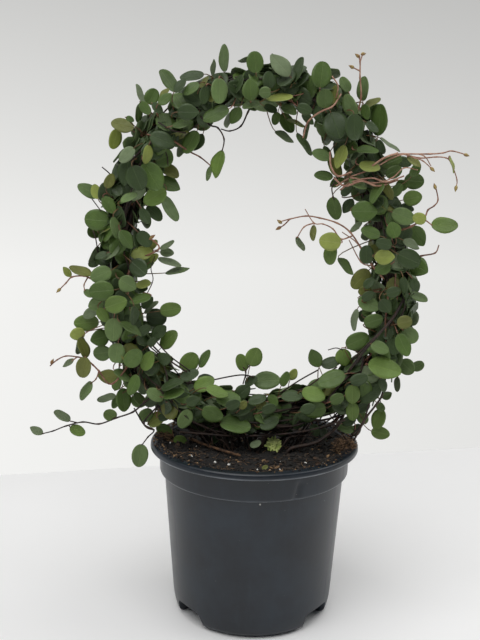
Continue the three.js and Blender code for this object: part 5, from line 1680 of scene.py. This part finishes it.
def crease_depth(x, y, z):
    """How far the collar is pressed in along its crease."""
    high, low = CREASE
    line = high - low
    place = Vector((x, y, z)) - low
    share = max(0, min(1, place.dot(line) / line.length_squared))
    return CREASE_DEPTH * math.exp(-(((place - line * share).length / CREASE_REACH) ** 2))


def notch_outlines(foot_width, top_width, heights, turn):
    """The outlines of a cut through the foot from inside to outside; turn 0 faces the front."""
    foot, top = foot_width / 2, top_width / 2
    spin = Matrix.Rotation(math.radians(turn), 3, "Z")
    outlines = []
    for depth, height in zip(NOTCH_DEPTHS, heights):
        corner = ((top + 0.5, height - 1.6), (top, height), (top - 1.5, height))
        right = bow(*[Vector(point) for point in corner], CORNER_STEPS)
        outline = [Vector((-foot, -1)), Vector((foot, -1)), *right]
        outline += [Vector((-p.x, p.y)) for p in reversed(right)]
        outlines.append([spin @ Vector((p.x, -depth, p.y)) for p in outline])
    return outlines


def make_cutter():
    """The cut-outs of the foot and the drain holes, as one mesh."""
    piece = Piece("cutter")
    notches = [(NOTCH_FOOT_WIDTH, NOTCH_TOP_WIDTH, NOTCH_HEIGHTS, turn) for turn in NOTCH_TURNS]
    small = (SMALL_NOTCH_WIDTH, SMALL_NOTCH_WIDTH - 1, SMALL_NOTCH_HEIGHTS)
    notches += [(*small, turn) for turn in SMALL_NOTCH_TURNS]
    for notch in notches:
        outlines = notch_outlines(*notch)
        rows = rings(len(outlines), len(outlines[0]))
        faces = [tuple(reversed(rows[0])), tuple(rows[-1]), *skin(rows)]
        piece.add([point for outline in outlines for point in outline], faces, POT_LOOK)
    for k in range(DRAINS):
        x, y = round_place(DRAIN_CIRCLE, math.tau * (k + 0.5) / DRAINS)
        path = [Vector((x, y, FLOOR_HEIGHT - 2)), Vector((x, y, FLOOR_TOP + 2))]
        tube(piece, path, DRAIN_RADIUS, 40, POT_LOOK)
    return piece.make("pot_plastic")


def cut_away(thing, cutter):
    """Takes the cutter's shape out of a thing, and the cutter out of the scene."""
    cut = thing.modifiers.new("cut", "BOOLEAN")
    cut.object = cutter
    cut.operation = "DIFFERENCE"
    cut.solver = "EXACT"
    graph = bpy.context.evaluated_depsgraph_get()
    cut_mesh = bpy.data.meshes.new_from_object(thing.evaluated_get(graph))
    thing.modifiers.clear()
    thing.data = cut_mesh
    bpy.data.objects.remove(cutter)


def make_pot():
    """The profile turned round its axis, pressed in along the crease, with its cut-outs and drain holes."""
    points, rows = [], []
    for r, z in with_collar_rows(rounded(pot_profile())):
        start = len(points)
        if r < 0.01:
            rows.append([start])
            points.append((0, 0, z))
            continue
        rows.append(range(start, start + POT_SIDES))
        on_collar = SHOULDER < z < LIP_FOOT and r > COLLAR_RADIUS - 1
        for k in range(POT_SIDES):
            x, y = round_place(r, math.tau * k / POT_SIDES)
            press = 1 - (crease_depth(x, y, z) / r if on_collar else 0)
            points.append((x * press, y * press, z))
    piece = Piece("nursery_pot")
    piece.add(points, skin(rows), POT_LOOK)
    pot = piece.make("pot_plastic", "pot")
    cut_away(pot, make_cutter())
    pot.data.set_sharp_from_angle(angle=math.radians(SHARP_ANGLE))


def make_speck():
    """A crumb of perlite that is stuck under the collar."""
    piece = Piece("stuck_perlite")
    at = on_front(*STUCK_SPECK, BODY_RADIUS_TOP)
    add_chip(piece, at, (0.7, 0.6, 0.6), draws(5), PERLITE_LOOK)
    piece.make("potting_mix", smooth=False)


# Floor and light

TABLE_EDGE = ((0, 475), (480, 447))
FLOOR_REACH = 1.7
FLOOR_DROP = -0.0002
FLOOR_CLOUD_SCALE = 6
LIGHTS = [
    {"name": "key", "at": (-0.35, -0.7, 1.6), "size": 1.7, "power": 24},
    {"name": "side", "at": (0.8, 0.1, 1.0), "size": 0.9, "power": 4},
]
LIGHTS_AIM = Vector((0, 0, 0.18))
WALL_START = (-0.35, 0.5)
DIM_UPWARD = (-0.12, 0.2, 1, 0.64)
DIM_RIGHTWARD = (-0.3, 0.3, 1, 0.86)
BLACK = (0, 0, 0, 1)
WALL_COLOUR = rgb(243, 243, 241)
ROOM_COLOUR = rgb(87, 92, 98)
FLOOR_COLOUR = rgb(250, 249, 248)


def on_floor(x, y):
    """The place on the floor, in metres, that shows at a pixel of the photograph."""
    sight = sight_at(x, y)
    return (EYE - sight * (EYE.z / sight.z)) * MM


def make_stage():
    """A pale floor that ends where the photograph's table does."""
    left, right = (on_floor(*pixel) for pixel in TABLE_EDGE)
    slope = (right.y - left.y) / (right.x - left.x)
    corners = [(-FLOOR_REACH, -FLOOR_REACH, 0), (FLOOR_REACH, -FLOOR_REACH, 0)]
    corners += [(x, left.y + slope * (x - left.x), 0) for x in (FLOOR_REACH, -FLOOR_REACH)]
    mesh = bpy.data.meshes.new("floor")
    mesh.from_pydata(corners, [], [(0, 1, 2, 3)])
    look, shader, place = new_look("floor", 0.6)
    clouds = noise_of(place, FLOOR_CLOUD_SCALE, 3.0)
    feed(shader.inputs["Base Color"], blend(clouds, scaled(FLOOR_COLOUR, 0.96), FLOOR_COLOUR))
    mesh.materials.append(look)
    floor = bpy.data.objects.new("floor", mesh)
    floor.location.z = FLOOR_DROP
    bpy.context.scene.collection.objects.link(floor)


def make_room():
    """A bright wall behind, dimmer toward the top and the right, and a darker room in front."""
    world = bpy.data.worlds.new("room")
    world.use_nodes = True
    tree = world.node_tree
    way = add_node(tree, "ShaderNodeTexCoord", {}).outputs["Generated"]
    parts = add_node(tree, "ShaderNodeSeparateXYZ", {"Vector": way}).outputs
    shade = times(between(parts["Z"], *DIM_UPWARD), between(parts["X"], *DIM_RIGHTWARD))
    wall = blend(shade, BLACK, WALL_COLOUR)
    behind = between(parts["Y"], *WALL_START)
    feed(tree.nodes["Background"].inputs["Color"], blend(behind, ROOM_COLOUR, wall))
    bpy.context.scene.world = world


def make_lamps():
    for light in LIGHTS:
        data = bpy.data.lights.new(light["name"], "AREA")
        data.size = light["size"]
        data.energy = light["power"]
        lamp = bpy.data.objects.new(light["name"], data)
        lamp.location = light["at"]
        lamp.rotation_mode = "QUATERNION"
        lamp.rotation_quaternion = (LIGHTS_AIM - lamp.location).to_track_quat("-Z", "Y")
        bpy.context.scene.collection.objects.link(lamp)


POT_LOOK = pot_look()
leaves_on_shoots, leaves_on_wreath = place_leaves()
make_stage()
make_room()
make_lamps()
make_pot()
make_speck()
make_bed()
make_crumbs()
make_fallen()
make_fibres()
make_tufts()
make_twig()
make_seedling()
make_hoop()
make_foliage(leaves_on_wreath)
make_shoots(leaves_on_shoots)
